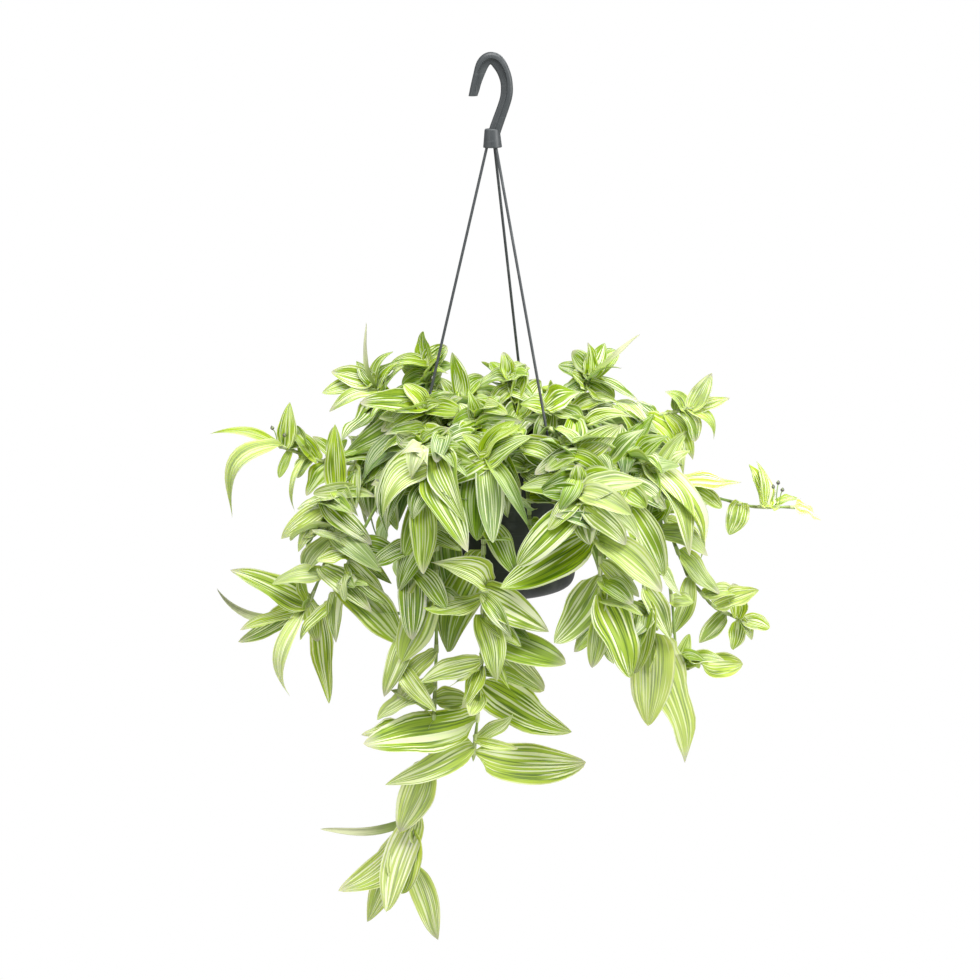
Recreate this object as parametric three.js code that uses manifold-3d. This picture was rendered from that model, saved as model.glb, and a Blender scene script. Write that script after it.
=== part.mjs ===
// Potted tradescantia in a hanging pot, in millimetres, +Z up.
// The origin is the hang point: the inside top of the hook's crook.
// X runs to the right in the photograph and Y away from its viewer.

import * as THREE from "three";
import { mergeVertices } from "three/addons/utils/BufferGeometryUtils.js";
import Module from "manifold-3d";

const wasm = await Module();
wasm.setup();

// Driving dimensions of the pot, the soil and the hanger
const RIM_TOP = -321;
const POT_RADIUS = 75;
const POT_HEIGHT = 134;
const RIM_BAND = 20;
const BAND_STEP = 3.2;
const WALL = 2;
const FOOT_RISE = 3;
const BOTTOM_RADIUS = 62;
const SOIL_DROP = 12;
const SOIL_SURFACE = RIM_TOP - SOIL_DROP;
const ROOT_DEPTH = 14;
const ROOT_RISE = 3;
const FIT = 0.35;
const STRAND_RADIUS = 1.2;
const SADDLE_PLAY = 0.75;
const STRAND_AZIMUTHS = { left: 160, front: 56, back: -72 };
const COLLAR_TOP = -54;
const COLLAR_HEIGHT = 16;

// Driving dimensions of the plant
const STEM_RADIUS = 1.8;
const STEM_SIDES = 4;
const STEM_POINT = 4;
const LEAF_SPACING = 0.07;
const LEAF_LENGTH = 70;
const LEAF_WIDTH_SHARE = 0.34;
const KEEL_SHARE = 0.15;
const KEEL_LEAST = 0.9;
const BLADE_STATIONS = [0.15, 0.45, 0.8];
const SMALL_BLADE_STATIONS = [0.22, 0.66];
const SMALL_BLADE = 70;
const CLEARANCE = 0.4;
const SHARED_LEAST = 0.5;
const BOX_MARGIN = 0.05;

// How the photograph is seen: degrees, pixels and mm
const VIEW = {
  pitch: 12.5, roll: 1.5, focal: 2752, middle: 490, away: 2330, hangAcross: 490.5, hangDown: 64.5,
};

const UP = new THREE.Vector3(0, 0, 1);

function radians(degrees) {
  return (degrees * Math.PI) / 180;
}

// The direction of the line of sight through a pixel
function sight(across, down) {
  const roll = radians(VIEW.roll);
  const pitch = radians(VIEW.pitch);
  const x = across - VIEW.middle;
  const y = down - VIEW.middle;
  const right = (x * Math.cos(roll) - y * Math.sin(roll)) / VIEW.focal;
  const drop = (x * Math.sin(roll) + y * Math.cos(roll)) / VIEW.focal;
  return new THREE.Vector3(
    right,
    Math.cos(pitch) - drop * Math.sin(pitch),
    -Math.sin(pitch) - drop * Math.cos(pitch),
  );
}

// The viewer's eye, from which the origin is seen at the hook's pixel
const EYE = sight(VIEW.hangAcross, VIEW.hangDown).multiplyScalar(-VIEW.away);

// The place seen at a pixel, at a depth in mm behind (or before) the pot's axis
function seen(across, down, depth) {
  const line = sight(across, down);
  return EYE.clone().addScaledVector(line, (depth - EYE.y) / line.y);
}

// A repeatable draw between 0 and 1
function chance(seed, index) {
  let n = (Math.imul(seed, 374761393) + Math.imul(index, 668265263)) | 0;
  n = Math.imul(n ^ (n >>> 13), 1274126177);
  n ^= n >>> 16;
  return (n >>> 0) / 4294967296;
}

function spread(seed, index, low, high) {
  return low + (high - low) * chance(seed, index);
}

// Solids

function solidOf(geometry) {
  const bare = geometry.clone();
  bare.deleteAttribute("normal");
  bare.deleteAttribute("uv");
  const merged = mergeVertices(bare, 1e-4);
  return new wasm.Manifold(new wasm.Mesh({
    numProp: 3,
    vertProperties: new Float32Array(merged.attributes.position.array),
    triVerts: new Uint32Array(merged.index.array),
  }));
}

function geometryOf(solid) {
  const mesh = solid.getMesh();
  const geometry = new THREE.BufferGeometry();
  geometry.setAttribute("position", new THREE.BufferAttribute(mesh.vertProperties, 3));
  geometry.setIndex(new THREE.BufferAttribute(mesh.triVerts, 1));
  geometry.computeVertexNormals();
  return geometry;
}

function closedMesh(points, faces) {
  const geometry = new THREE.BufferGeometry();
  const positions = points.flatMap((p) => [p.x, p.y, p.z]);
  geometry.setAttribute("position", new THREE.Float32BufferAttribute(positions, 3));
  geometry.setIndex(faces);
  return geometry;
}

// The largest piece of a joined solid, so that no sealed hollow or loose scrap is left
function soundBody(solid) {
  const pieces = solid.decompose();
  return pieces.reduce((a, b) => (a.volume() > b.volume() ? a : b));
}

function overlaps(a, b) {
  return a.intersect(b).volume() > 1e-7;
}

function boxOf(solid, margin) {
  const box = solid.boundingBox();
  return new THREE.Box3(
    new THREE.Vector3(...box.min).subScalar(margin),
    new THREE.Vector3(...box.max).addScalar(margin),
  );
}

// Pot

// Outline of the pot's wall from the rim's outer edge down, under and back up inside
function potProfile() {
  const base = RIM_TOP - POT_HEIGHT;
  const shoulder = RIM_TOP - RIM_BAND;
  const bend = 8;
  const points = [
    [POT_RADIUS, RIM_TOP],
    [POT_RADIUS, shoulder],
    [POT_RADIUS - BAND_STEP, shoulder],
    [BOTTOM_RADIUS + 1, base + bend],
    [BOTTOM_RADIUS - 2, base + 2],
    [BOTTOM_RADIUS - bend, base],
    [BOTTOM_RADIUS - bend - 4, base],
    [BOTTOM_RADIUS - bend - 7, base + FOOT_RISE],
    [0, base + FOOT_RISE],
    [0, base + FOOT_RISE + WALL],
    [BOTTOM_RADIUS - bend, base + FOOT_RISE + WALL],
    [BOTTOM_RADIUS - 1.5, base + bend + 1.5],
    [POT_RADIUS - BAND_STEP - WALL, shoulder - 1],
    [POT_RADIUS - WALL, shoulder + 2],
    [POT_RADIUS - WALL, RIM_TOP],
  ];
  points.push(points[0]);
  return points.map(([r, z]) => new THREE.Vector2(r, z));
}

// A lathe about Z: three.js turns a profile about Y, so it is laid back
function turned(profile, sides) {
  return new THREE.LatheGeometry(profile.reverse(), sides).rotateX(Math.PI / 2);
}

// Upright ribs on the rim's band, left out where a strand's saddle grips it
function rimRibs() {
  const ribs = [];
  const count = 16;
  for (let i = 0; i < count; i += 1) {
    const azimuth = (i + 0.5) * (360 / count);
    const apart = Object.values(STRAND_AZIMUTHS).map((strand) => (
      Math.abs(((azimuth + strand + 540) % 360) - 180)
    ));
    const rib = new THREE.BoxGeometry(2.2, 1.4, RIM_BAND - 6);
    rib.translate(POT_RADIUS - 0.5, 0, RIM_TOP - RIM_BAND / 2);
    rib.rotateZ(radians(azimuth));
    if (Math.min(...apart) > 6) {
      ribs.push(solidOf(rib));
    }
  }
  return ribs;
}

function drainHoles() {
  const holes = [];
  const count = 5;
  for (let i = 0; i < count; i += 1) {
    const hole = new THREE.CylinderGeometry(4.5, 4.5, 12, 6).rotateX(Math.PI / 2);
    hole.translate(34, 0, RIM_TOP - POT_HEIGHT + FOOT_RISE);
    hole.rotateZ(radians(i * (360 / count)));
    holes.push(solidOf(hole));
  }
  return holes;
}

function makePot() {
  let pot = solidOf(turned(potProfile(), 32));
  for (const rib of rimRibs()) {
    pot = pot.add(rib);
  }
  for (const hole of drainHoles()) {
    pot = pot.subtract(hole);
  }
  return pot;
}

// Soil

const SOIL_PLAY = 0.6;
const SOIL_RADIUS = POT_RADIUS - BAND_STEP - WALL - SOIL_PLAY;

// Height of the lumpy surface of the soil at a place in plan
function soilHeight(x, y) {
  const lumps = Math.sin(x * 0.21 + 1) * Math.cos(y * 0.17) + 0.6 * Math.sin(x * 0.43 - y * 0.37);
  return SOIL_SURFACE + 0.9 * lumps;
}

function makeSoilBody() {
  const base = RIM_TOP - POT_HEIGHT + FOOT_RISE + WALL + FIT;
  const profile = [
    [0, base],
    [BOTTOM_RADIUS - 9.5, base],
    [BOTTOM_RADIUS - 3, base + 6],
    [SOIL_RADIUS - 1, RIM_TOP - RIM_BAND - 2],
    [SOIL_RADIUS - 0.5, SOIL_SURFACE - 3],
    [SOIL_RADIUS - 4, SOIL_SURFACE],
    [SOIL_RADIUS * 0.72, SOIL_SURFACE],
    [SOIL_RADIUS * 0.4, SOIL_SURFACE],
    [0, SOIL_SURFACE],
  ].map(([r, z]) => new THREE.Vector2(r, z));
  const geometry = turned(profile.reverse(), 18);
  const places = geometry.attributes.position;
  for (let i = 0; i < places.count; i += 1) {
    if (places.getZ(i) > SOIL_SURFACE - 0.5) {
      places.setZ(i, soilHeight(places.getX(i), places.getY(i)));
    }
  }
  return solidOf(geometry);
}

// A plain hole that a stem stands in
function stemHole(root) {
  const depth = ROOT_DEPTH + 6;
  const hole = new THREE.CylinderGeometry(STEM_RADIUS + 1.4, STEM_RADIUS + 1.4, depth, 4);
  hole.rotateX(Math.PI / 2);
  hole.translate(root.x, root.y, SOIL_SURFACE - ROOT_DEPTH - FIT + depth / 2);
  return solidOf(hole);
}

// Hanger

// Outer and inner edges of the hook from its tip to its collar, as pixels across and down
const HOOK_OUTER = [
  [468.5, 96], [470.5, 86], [473, 75], [475.8, 64], [480, 57], [486, 52.8], [493, 52], [500, 54.5],
  [505, 60], [509, 68], [512, 78], [513, 90], [511.8, 99], [508.8, 109], [505.3, 119], [501.5, 130],
  [499.5, 136],
];
const HOOK_INNER = [
  [477.5, 96], [479.5, 90], [481.5, 83], [485, 74], [488, 67.5], [490.5, 64.5], [493, 67.2],
  [497, 73], [500, 81], [500.8, 88], [500.2, 96], [498, 104], [494, 115], [490, 126], [487, 136],
];
const HOOK_WIDTH = 9;
const HOOK_WEB = 4.4;
const HOOK_FLANGE = 3.4;

// A smooth edge through pixels, as flat points across and up in mm
function hookEdge(pixels) {
  const places = pixels.map(([across, down]) => seen(across, down, 0));
  const spline = new THREE.SplineCurve(places.map((p) => new THREE.Vector2(p.x, p.z)));
  return spline.getPoints(15);
}

// The same edge moved inwards, to its right as it runs from the tip
function movedEdge(edge, distance) {
  return edge.map((point, i) => {
    const before = edge[Math.max(i - 1, 0)];
    const after = edge[Math.min(i + 1, edge.length - 1)];
    const run = after.clone().sub(before).normalize();
    return new THREE.Vector2(point.x + run.y * distance, point.y - run.x * distance);
  });
}

function hookBand(edge, otherEdge, width) {
  const shape = new THREE.Shape([...edge, ...otherEdge.slice().reverse()]);
  const band = new THREE.ExtrudeGeometry(shape, { depth: width, bevelEnabled: false });
  return solidOf(band.rotateX(Math.PI / 2).translate(0, width / 2, 0));
}

function makeCollar() {
  const collar = new THREE.CylinderGeometry(6.4, 8, COLLAR_HEIGHT, 12).rotateX(Math.PI / 2);
  return solidOf(collar.translate(0, 0, COLLAR_TOP - COLLAR_HEIGHT / 2));
}

// The straight line of a strand, from inside the collar to above the rim
function strandEnds(azimuth) {
  const out = new THREE.Vector3(Math.cos(radians(azimuth)), -Math.sin(radians(azimuth)), 0);
  const rimMiddle = POT_RADIUS - WALL / 2;
  const low = out.clone().multiplyScalar(rimMiddle).setZ(RIM_TOP + 4);
  const high = out.clone().multiplyScalar(3.4).setZ(COLLAR_TOP - COLLAR_HEIGHT + 7);
  return { out, low, high };
}

function rod(from, to, radius, sides) {
  const run = to.clone().sub(from);
  const cylinder = new THREE.CylinderGeometry(radius, radius, run.length(), sides);
  const turn = new THREE.Quaternion().setFromUnitVectors(new THREE.Vector3(0, 1, 0), run.normalize());
  cylinder.applyQuaternion(turn);
  const middle = from.clone().add(to).multiplyScalar(0.5);
  return solidOf(cylinder.translate(middle.x, middle.y, middle.z));
}

function makeHook() {
  const outer = hookEdge(HOOK_OUTER);
  const inner = hookEdge(HOOK_INNER);
  const web = hookBand(outer, inner, HOOK_WEB);
  const flange = hookBand(outer, movedEdge(outer, HOOK_FLANGE), HOOK_WIDTH);
  let hook = web.add(flange).add(makeCollar());
  for (const azimuth of Object.values(STRAND_AZIMUTHS)) {
    const { low, high } = strandEnds(azimuth);
    const beyond = high.clone().add(high.clone().sub(low).normalize().multiplyScalar(FIT));
    hook = hook.subtract(rod(low, beyond, STRAND_RADIUS + FIT, 8));
  }
  return soundBody(hook);
}

// A saddle that grips the rim, with the strand's lower end in its top
function makeStrand(azimuth) {
  const { low, high } = strandEnds(azimuth);
  const grip = 1.6;
  const width = 9;
  const gap = WALL + 2 * SADDLE_PLAY;
  const saddle = new THREE.Shape([
    new THREE.Vector2(-gap / 2 - grip, RIM_TOP - 11),
    new THREE.Vector2(-gap / 2, RIM_TOP - 11),
    new THREE.Vector2(-gap / 2, RIM_TOP + FIT),
    new THREE.Vector2(gap / 2, RIM_TOP + FIT),
    new THREE.Vector2(gap / 2, RIM_TOP - 11),
    new THREE.Vector2(gap / 2 + grip, RIM_TOP - 11),
    new THREE.Vector2(gap / 2 + grip, RIM_TOP + 2.5),
    new THREE.Vector2(gap / 2, RIM_TOP + 4),
    new THREE.Vector2(-gap / 2, RIM_TOP + 4),
    new THREE.Vector2(-gap / 2 - grip, RIM_TOP + 2.5),
  ]);
  const body = new THREE.ExtrudeGeometry(saddle, { depth: width, bevelEnabled: false });
  body.rotateX(Math.PI / 2).translate(POT_RADIUS - WALL / 2, width / 2, 0);
  body.rotateZ(radians(-azimuth));
  const foot = low.clone().add(low.clone().sub(high).normalize().multiplyScalar(2.5));
  return solidOf(body).add(rod(foot, high, STRAND_RADIUS, 8));
}

// Plant

// Each leafy stem: the pixels and depth that it passes through after its root in the soil, its
// length of blade, how many further leaves a rule sets along it, and the leaves read from the
// photograph. Such a leaf is the place on the path that it grows from, counted in path points, then
// the pixel of its tip, how much nearer (-) or farther its tip lies, and its width and arch.
const SEEN_STEMS = {
  trail_centre: {
    path: [[487, 430, -85], [484, 500, -108], [483, 600, -108], [481, 680, -105], [474, 752, -102]],
    leaves: [
      [1.85, 430, 562, -18, 1.25, 0.4], [1.5, 447, 652, -12, 1.3, 0.1], [2, 424, 608, -10, 0.95, -0.2],
      [2, 549, 632, -12, 1.15, 0.05], [2.4, 566, 664, -14, 1.2, -0.1], [2.2, 497, 681, -20, 1.1, 0.15],
      [2.75, 420, 682, -6, 1, 0.05], [2.9, 541, 691, -6, 0.8, 0.1], [3, 572, 732, -16, 1.25, -0.28],
      [3.2, 470, 716, -22, 0.8, 0.1], [3.5, 363, 744, -16, 1.55, -0.2], [3.85, 513, 714, -2, 0.9, -0.15],
      [4, 586, 762, -16, 1.1, -0.42], [4, 385, 785, -6, 0.8, 0], [1.2, 516, 574, -4, 1, 0.2],
      [0.9, 452, 548, -8, 0.9, 0.2], [2.2, 530, 640, -4, 0.7, -0.1], [2.45, 544, 691, 4, 0.8, 0],
      [2.9, 462, 708, -10, 1, 0.2], [3.9, 518, 749, -4, 0.5, 0.1],
    ],
  },
  trail_left: {
    path: [
      [445, 435, -82], [436, 520, -97], [437, 600, -94], [435, 700, -90], [430, 760, -86],
      [422, 800, -83], [412, 828, -80], [414, 866, -78],
    ],
    leaves: [
      [1.1, 398, 592, -6, 1, 0.25], [1.7, 402, 662, -6, 1.1, 0.15], [2.5, 398, 700, -4, 0.8, 0.2],
      [2.9, 377, 720, -6, 1.05, 0.15], [3.3, 361, 735, -4, 1.2, -0.1], [3.1, 470, 700, 6, 1.1, 0],
      [4.1, 400, 832, -8, 1.5, 0.05], [5.5, 320, 829, 0, 0.26, -0.25], [6, 402, 894, -8, 1.7, 0.05],
      [6, 338, 891, -4, 1.05, -0.32], [5.8, 367, 922, 4, 1.4, -0.1], [7, 438, 940, 0, 0.85, 0.1],
      [5.5, 386, 912, 6, 0.9, 0], [0.8, 454, 612, -8, 1.2, 0.15], [0.4, 405, 556, -8, 1, 0],
    ],
  },
  rosette_front: {
    path: [[472, 420, -66], [482, 442, -96], [487, 463, -113]],
    leaves: [
      [2, 532, 436, -18, 1.45, 0.25], [2, 446, 484, -14, 1, 0.3], [1.9, 477, 541, -16, 1.35, 0.12],
      [2, 493, 543, -10, 0.8, 0.15], [1.9, 508, 518, -6, 0.8, 0.2], [2, 532, 534, -14, 0.5, 0.5],
      [1.7, 462, 434, -4, 0.8, 0.2], [1.6, 505, 420, 2, 0.8, 0.2], [1, 444, 446, -10, 1, 0.3],
      [0.6, 520, 442, -14, 1, 0.35],
    ],
  },
  rosette_pale: {
    path: [[430, 425, -60], [420, 452, -95]],
    leaves: [
      [1, 461, 446, -14, 0.9, 0.3], [1, 371, 485, -12, 1.3, -0.25], [0.9, 388, 538, -8, 0.8, 0.5],
      [1, 399, 444, -6, 0.7, 0.3], [1, 410, 480, -20, 0.7, 0.1], [1, 437, 466, -18, 0.6, 0.2],
    ],
  },
  spray_right_low: {
    path: [[575, 450, -92], [597, 545, -122], [598, 585, -122], [598, 640, -118]],
    leaves: [
      [1, 500, 588, -16, 1.15, -0.16], [1.1, 662, 592, -12, 1.15, 0.25], [1.7, 554, 643, -6, 1.25, -0.22],
      [2.6, 592, 668, -8, 0.9, 0.1], [2.2, 630, 678, -8, 1.1, 0.1], [1.9, 633, 604, -12, 1, 0.3],
      [2.8, 574, 652, -2, 0.8, 0.1], [0.6, 640, 540, -10, 1, 0.3], [2.9, 614, 664, 6, 0.8, 0.1],
      [0, 620, 426, -8, 1.15, 0.2], [0.1, 534, 470, -10, 1, 0.4],
    ],
  },
  rosette_right: {
    path: [[560, 436, -78], [577, 478, -112], [580, 508, -119]],
    leaves: [
      [1.8, 643, 482, -12, 1.2, 0.25], [2, 590, 545, -12, 1.25, 0.12], [2, 518, 566, -14, 1.05, 0.2],
      [1.3, 520, 488, -8, 1.5, 0.05], [1.2, 577, 464, -2, 0.8, 0.3], [2, 626, 545, -10, 1.1, 0.3],
      [1.5, 632, 515, -2, 1, 0.3], [1.7, 548, 530, -14, 0.9, 0.3],
    ],
  },
  hang_right: {
    path: [[612, 448, -62], [640, 555, -88], [645, 605, -88], [655, 640, -84]],
    leaves: [
      [2.8, 648, 726, -8, 1.35, 0.05], [3, 685, 763, -4, 1.4, 0.12], [3, 677, 690, 4, 0.8, 0.1],
      [2.3, 622, 645, -4, 1, 0.15], [1.6, 671, 640, -8, 1, 0.1], [1, 607, 600, -10, 1, 0.25],
      [0.9, 682, 596, -6, 1.2, 0.05], [1.9, 634, 674, -8, 1.1, 0.1], [0, 646, 428, -4, 1, 0.35],
      [0.1, 586, 466, -14, 1.1, 0.3], [0.4, 646, 508, -10, 1, 0.3], [0.6, 664, 576, -10, 1.2, 0.1],
    ],
  },
  shoot_right_low: {
    path: [[640, 446, -32], [668, 560, -52], [675, 650, -56], [682, 671, -56], [700, 662, -56]],
    leaves: [
      [4, 743, 664, -4, 1.25, -0.1], [1.4, 694, 602, -6, 0.8, 0.2], [0.8, 708, 556, -6, 1, 0.3],
      [2.3, 690, 634, 4, 0.7, 0.2], [0, 670, 436, -4, 1, 0.35], [0.3, 676, 505, -10, 1.1, 0.3],
      [0.6, 628, 530, -8, 1, 0.25],
    ],
  },
  branch_right_low: {
    path: [[640, 440, 10], [672, 540, -15], [702, 598, -20], [742, 620, -15]],
    leaves: [
      [1.2, 720, 594, -6, 1.1, 0], [2, 736, 592, -6, 1, 0.2], [2.3, 759, 590, -6, 1.4, 0],
      [3, 770, 628, 0, 0.8, 0.1], [2.6, 699, 643, -6, 1, -0.1], [2.9, 733, 650, 4, 1, 0.1],
      [3, 752, 640, 2, 0.6, 0.1], [1.6, 673, 634, -6, 0.9, 0.2], [0.2, 612, 404, -4, 1, 0.2],
      [0.5, 700, 505, -6, 1.1, 0.3], [0.8, 706, 552, 4, 1, 0.3],
    ],
  },
  far_right: {
    path: [[620, 444, 0], [665, 479, -10], [740, 503, 0], [795, 505, 5]],
    leaves: [
      [1.1, 742, 482, -8, 1.45, 0.05], [1.3, 722, 508, -8, 1, 0], [2, 729, 535, -8, 1.1, 0.1],
      [2.4, 749, 464, 4, 1.3, 0.1], [2.6, 764, 506, -4, 0.5, 0.2], [3, 821, 520, 0, 1, 0.3],
      [0.9, 660, 522, -12, 1, 0.25], [2.5, 800, 499, 2, 0.5, 0.2], [0.8, 690, 450, 8, 0.9, 0.3],
      [0.1, 656, 412, 6, 1, 0.35],
    ],
  },
  right_upper: {
    path: [[600, 428, 25], [645, 418, 20], [692, 408, 15]],
    leaves: [
      [2, 712, 373, 0, 0.85, 0.1], [2, 730, 398, 0, 0.8, -0.05], [1.8, 665, 391, 6, 1, 0.3],
      [2, 714, 440, 0, 0.6, 0.5], [1.8, 695, 442, -6, 0.8, 0.3], [1, 684, 478, -10, 1, 0.35],
      [1.4, 693, 460, 0, 0.9, 0.3], [1.2, 637, 401, 8, 0.85, 0.1],
    ],
  },
  right_mid: {
    path: [[600, 440, -32], [650, 470, -42]],
    leaves: [
      [1, 645, 524, -12, 1.1, 0.2], [1, 680, 466, -6, 0.9, 0.3], [1, 690, 556, -8, 0.9, 0.3],
      [0.9, 701, 560, 2, 1, 0.34], [0.3, 622, 424, -2, 1.1, 0.25], [0.6, 612, 496, -10, 1, 0.25],
    ],
  },
  top_left: {
    path: [[435, 410, 20], [428, 364, 25]],
    leaves: [
      [1, 423, 331, 0, 1, 0.05], [1, 447, 346, 0, 1.1, 0.1], [1, 381, 386, 4, 1, 0.6],
      [0.9, 387, 370, 2, 0.9, 0.3], [0.6, 402, 386, -6, 0.9, 0.3], [0.8, 454, 366, -6, 0.8, 0.2],
    ],
  },
  top_inner: {
    path: [[466, 420, 5], [463, 398, 5]],
    leaves: [
      [1, 452, 352, 0, 0.8, 0.05], [0.8, 440, 385, -4, 0.8, 0.3], [1, 486, 378, 0, 0.9, 0.3],
      [0.6, 496, 400, -6, 0.9, 0.3],
    ],
  },
  top_middle: {
    path: [[512, 408, 10], [508, 378, 12]],
    leaves: [
      [1, 503, 352, 0, 0.75, 0.1], [1, 529, 374, 0, 0.85, 0.3], [1, 480, 386, -4, 0.9, 0.3],
      [0.7, 534, 400, -4, 1, 0.15], [0.6, 488, 408, -8, 0.9, 0.2], [0.9, 517, 364, 6, 0.7, 0.1],
      [1, 490, 362, 2, 0.9, 0.1],
    ],
  },
  top_right: {
    path: [[578, 412, 15], [592, 376, 18]],
    leaves: [
      [1, 572, 351, 0, 0.95, 0.15], [1, 588, 342, 4, 1.05, 0.1], [1, 605, 343, 0, 1, 0.1],
      [1, 617, 351, 0, 1, 0.15], [1, 622, 368, -4, 1, 0.2], [0.9, 640, 334, 4, 0.24, 0.05],
      [0.7, 558, 366, 6, 0.8, 0.3], [0.6, 560, 396, -8, 1, 0.3], [0.7, 614, 400, -8, 1.1, 0.05],
    ],
  },
  top_front_right: {
    path: [[552, 424, -32], [546, 408, -36]],
    leaves: [
      [1, 582, 392, 0, 1.2, 0.35], [0.9, 564, 412, -20, 1, 0.3], [1, 520, 404, -2, 0.9, 0.3],
      [0.8, 586, 424, -12, 1, 0.3], [0.6, 538, 448, -18, 1, 0.3],
    ],
  },
  crown_left: {
    path: [[436, 424, -25], [425, 408, -42]],
    leaves: [
      [1, 404, 384, 0, 0.85, 0.2], [1, 360, 403, -4, 1.15, 0.25], [1, 386, 428, -10, 1, 0.3],
      [1, 474, 416, -12, 1, 0.35], [1, 440, 442, -14, 0.9, 0.2], [0.8, 450, 392, 2, 0.8, 0.3],
      [0.7, 344, 456, -6, 0.9, 0.1],
    ],
  },
  crown_far_left: {
    path: [[396, 412, 0], [373, 382, 8]],
    leaves: [
      [1, 331, 372, 0, 1, 0.05], [1, 322, 393, -4, 1, 0.05], [1, 356, 361, 6, 0.7, 0.1],
      [1, 366, 322, 4, 0.22, 0.3], [1, 329, 412, -8, 0.7, 0.2], [0.9, 393, 430, -14, 1.3, -0.1],
      [0.9, 396, 360, 2, 0.8, 0.25], [0.5, 342, 440, -8, 1.4, 0],
    ],
  },
  crown_middle: {
    path: [[478, 430, -52], [484, 414, -58]],
    leaves: [
      [1, 468, 402, 0, 0.8, 0.2], [1, 500, 396, 2, 0.8, 0.2], [1, 512, 436, -10, 1, 0.3],
      [0.8, 452, 424, -6, 0.9, 0.3],
    ],
  },
  far_left: {
    path: [[362, 464, 0], [320, 461, 0], [278, 445, 0]],
    leaves: [
      [2, 209, 434, 0, 0.45, 0.34], [1.9, 232, 518, -8, 0.7, 0.6], [1.95, 290, 402, 4, 0.95, 0.12],
      [1.9, 312, 448, 4, 0.6, 0.2], [1.9, 279, 478, -8, 0.5, 0.1], [1.3, 295, 512, -6, 0.32, 0.5],
      [1.3, 297, 478, -10, 0.8, 0.1], [0.7, 335, 426, 4, 0.6, 0.1], [0.5, 345, 512, -10, 1, 0.3],
      [0.6, 306, 496, -8, 1.2, 0.1],
    ],
  },
  left_mid: {
    path: [[354, 474, -48], [328, 500, -56], [333, 540, -60]],
    leaves: [
      [1.2, 281, 539, -6, 1, 0.2], [1.5, 298, 552, -8, 0.9, 0.25], [0.6, 335, 424, 0, 0.9, 0.1],
      [2, 300, 588, -4, 0.9, 0.25], [2, 392, 584, -8, 1, 0.1], [1.2, 372, 545, -12, 1, 0.3],
      [0.9, 297, 509, 2, 0.7, 0.15], [1.7, 382, 572, 0, 0.9, 0.3], [1.3, 310, 535, -8, 0.7, 0],
    ],
  },
  left_low: {
    path: [[348, 496, -62], [328, 555, -66], [304, 612, -60]],
    leaves: [
      [1.9, 230, 570, -6, 1, -0.05], [1.3, 272, 584, -4, 1, 0.3], [2, 240, 630, -6, 0.9, 0.05],
      [1.8, 217, 588, 0, 0.28, -0.95], [2, 290, 697, -8, 0.6, 0.6], [1.9, 318, 642, -8, 0.8, 0.1],
      [1.7, 329, 704, 4, 0.75, -0.25], [1.2, 372, 612, -8, 1, 0.3], [1.95, 238, 642, -2, 0.7, -0.15],
    ],
  },
  left_front: {
    path: [[372, 512, -82], [346, 570, -80], [332, 606, -76]],
    leaves: [
      [0.5, 404, 560, -14, 1.1, 0.2], [0.9, 390, 606, -8, 0.95, 0.2], [1.2, 402, 643, -10, 1.3, 0.15],
      [1.6, 336, 643, -6, 0.8, 0.1], [0.7, 316, 560, -6, 1, 0.3], [2, 300, 640, -6, 0.8, 0.1],
    ],
  },
  left_inner: {
    path: [[420, 520, -90], [406, 640, -92], [400, 676, -90]],
    leaves: [
      [1, 384, 697, -6, 0.95, 0.1], [0.4, 412, 640, -10, 1.2, 0.15], [1.7, 436, 712, -6, 0.9, 0.25],
      [2, 404, 742, -4, 0.9, 0.12], [0.6, 452, 620, -8, 1, 0.3], [0.2, 372, 566, -6, 1, 0.3],
    ],
  },
};

// Stems that no pixel gives: round the back and between the others, by azimuth in degrees from +X
// towards +Y, how far they reach beyond the rim or above it, and how far they fall
const BACK_STEMS = { count: 9, from: 14, to: 166, reach: [28, 62], fall: [50, 120], leaves: 7 };
const SIDE_STEMS = {
  azimuths: [196, 222, 243, 262, 281, 320], reach: [16, 32], fall: [22, 60], leaves: 6,
};
const CROWN_STEMS = { count: 6, from: 30, to: 200, radius: [12, 42], rise: [6, 18], leaves: 6 };

const ROOT_PLACES = 52;
const ROOT_SPREAD = 57;
const GOLDEN_ANGLE = 137.508;
const CROSSING_RISE = 14;
const STEM_STEP = 44;
const STEM_SHIFTS = [0, 4, -4, 8, -8, 12, -12, 16, -16, 20, -20, 25, -25, 30, -30];
const TIP_SHIFTS = [0, -5, 5, -10, 10, -16, 16, -23, 23, -31, 31, -40, 40, -50, 50];
const TIP_SWINGS = [0, 10, -10, 20, -20, 32, -32, 46, -46, 60, -60, 76, -76, 94, -94];

function outwards(azimuth, radius, height) {
  const angle = radians(azimuth);
  return new THREE.Vector3(radius * Math.cos(angle), radius * Math.sin(angle), height);
}

// A stem that leans over the rim and hangs down outside
function hangingPath(seed, azimuth, group) {
  const reach = spread(seed, 1, ...group.reach);
  const fall = spread(seed, 2, ...group.fall);
  const turn = spread(seed, 3, -10, 10);
  return [
    outwards(azimuth, POT_RADIUS + 0.4 * reach, RIM_TOP + 16),
    outwards(azimuth + 0.5 * turn, POT_RADIUS + 0.85 * reach, RIM_TOP - 0.25 * fall),
    outwards(azimuth + turn, POT_RADIUS + reach, RIM_TOP - fall),
  ];
}

// A stem that stands up in the middle of the pot and leans outwards a little
function standingPath(seed, azimuth, group) {
  const radius = spread(seed, 1, ...group.radius);
  const rise = spread(seed, 2, ...group.rise);
  return [
    outwards(azimuth, radius, RIM_TOP + 0.3 * rise),
    outwards(azimuth + 8, radius * 1.35 + 6, RIM_TOP + rise),
  ];
}

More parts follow.
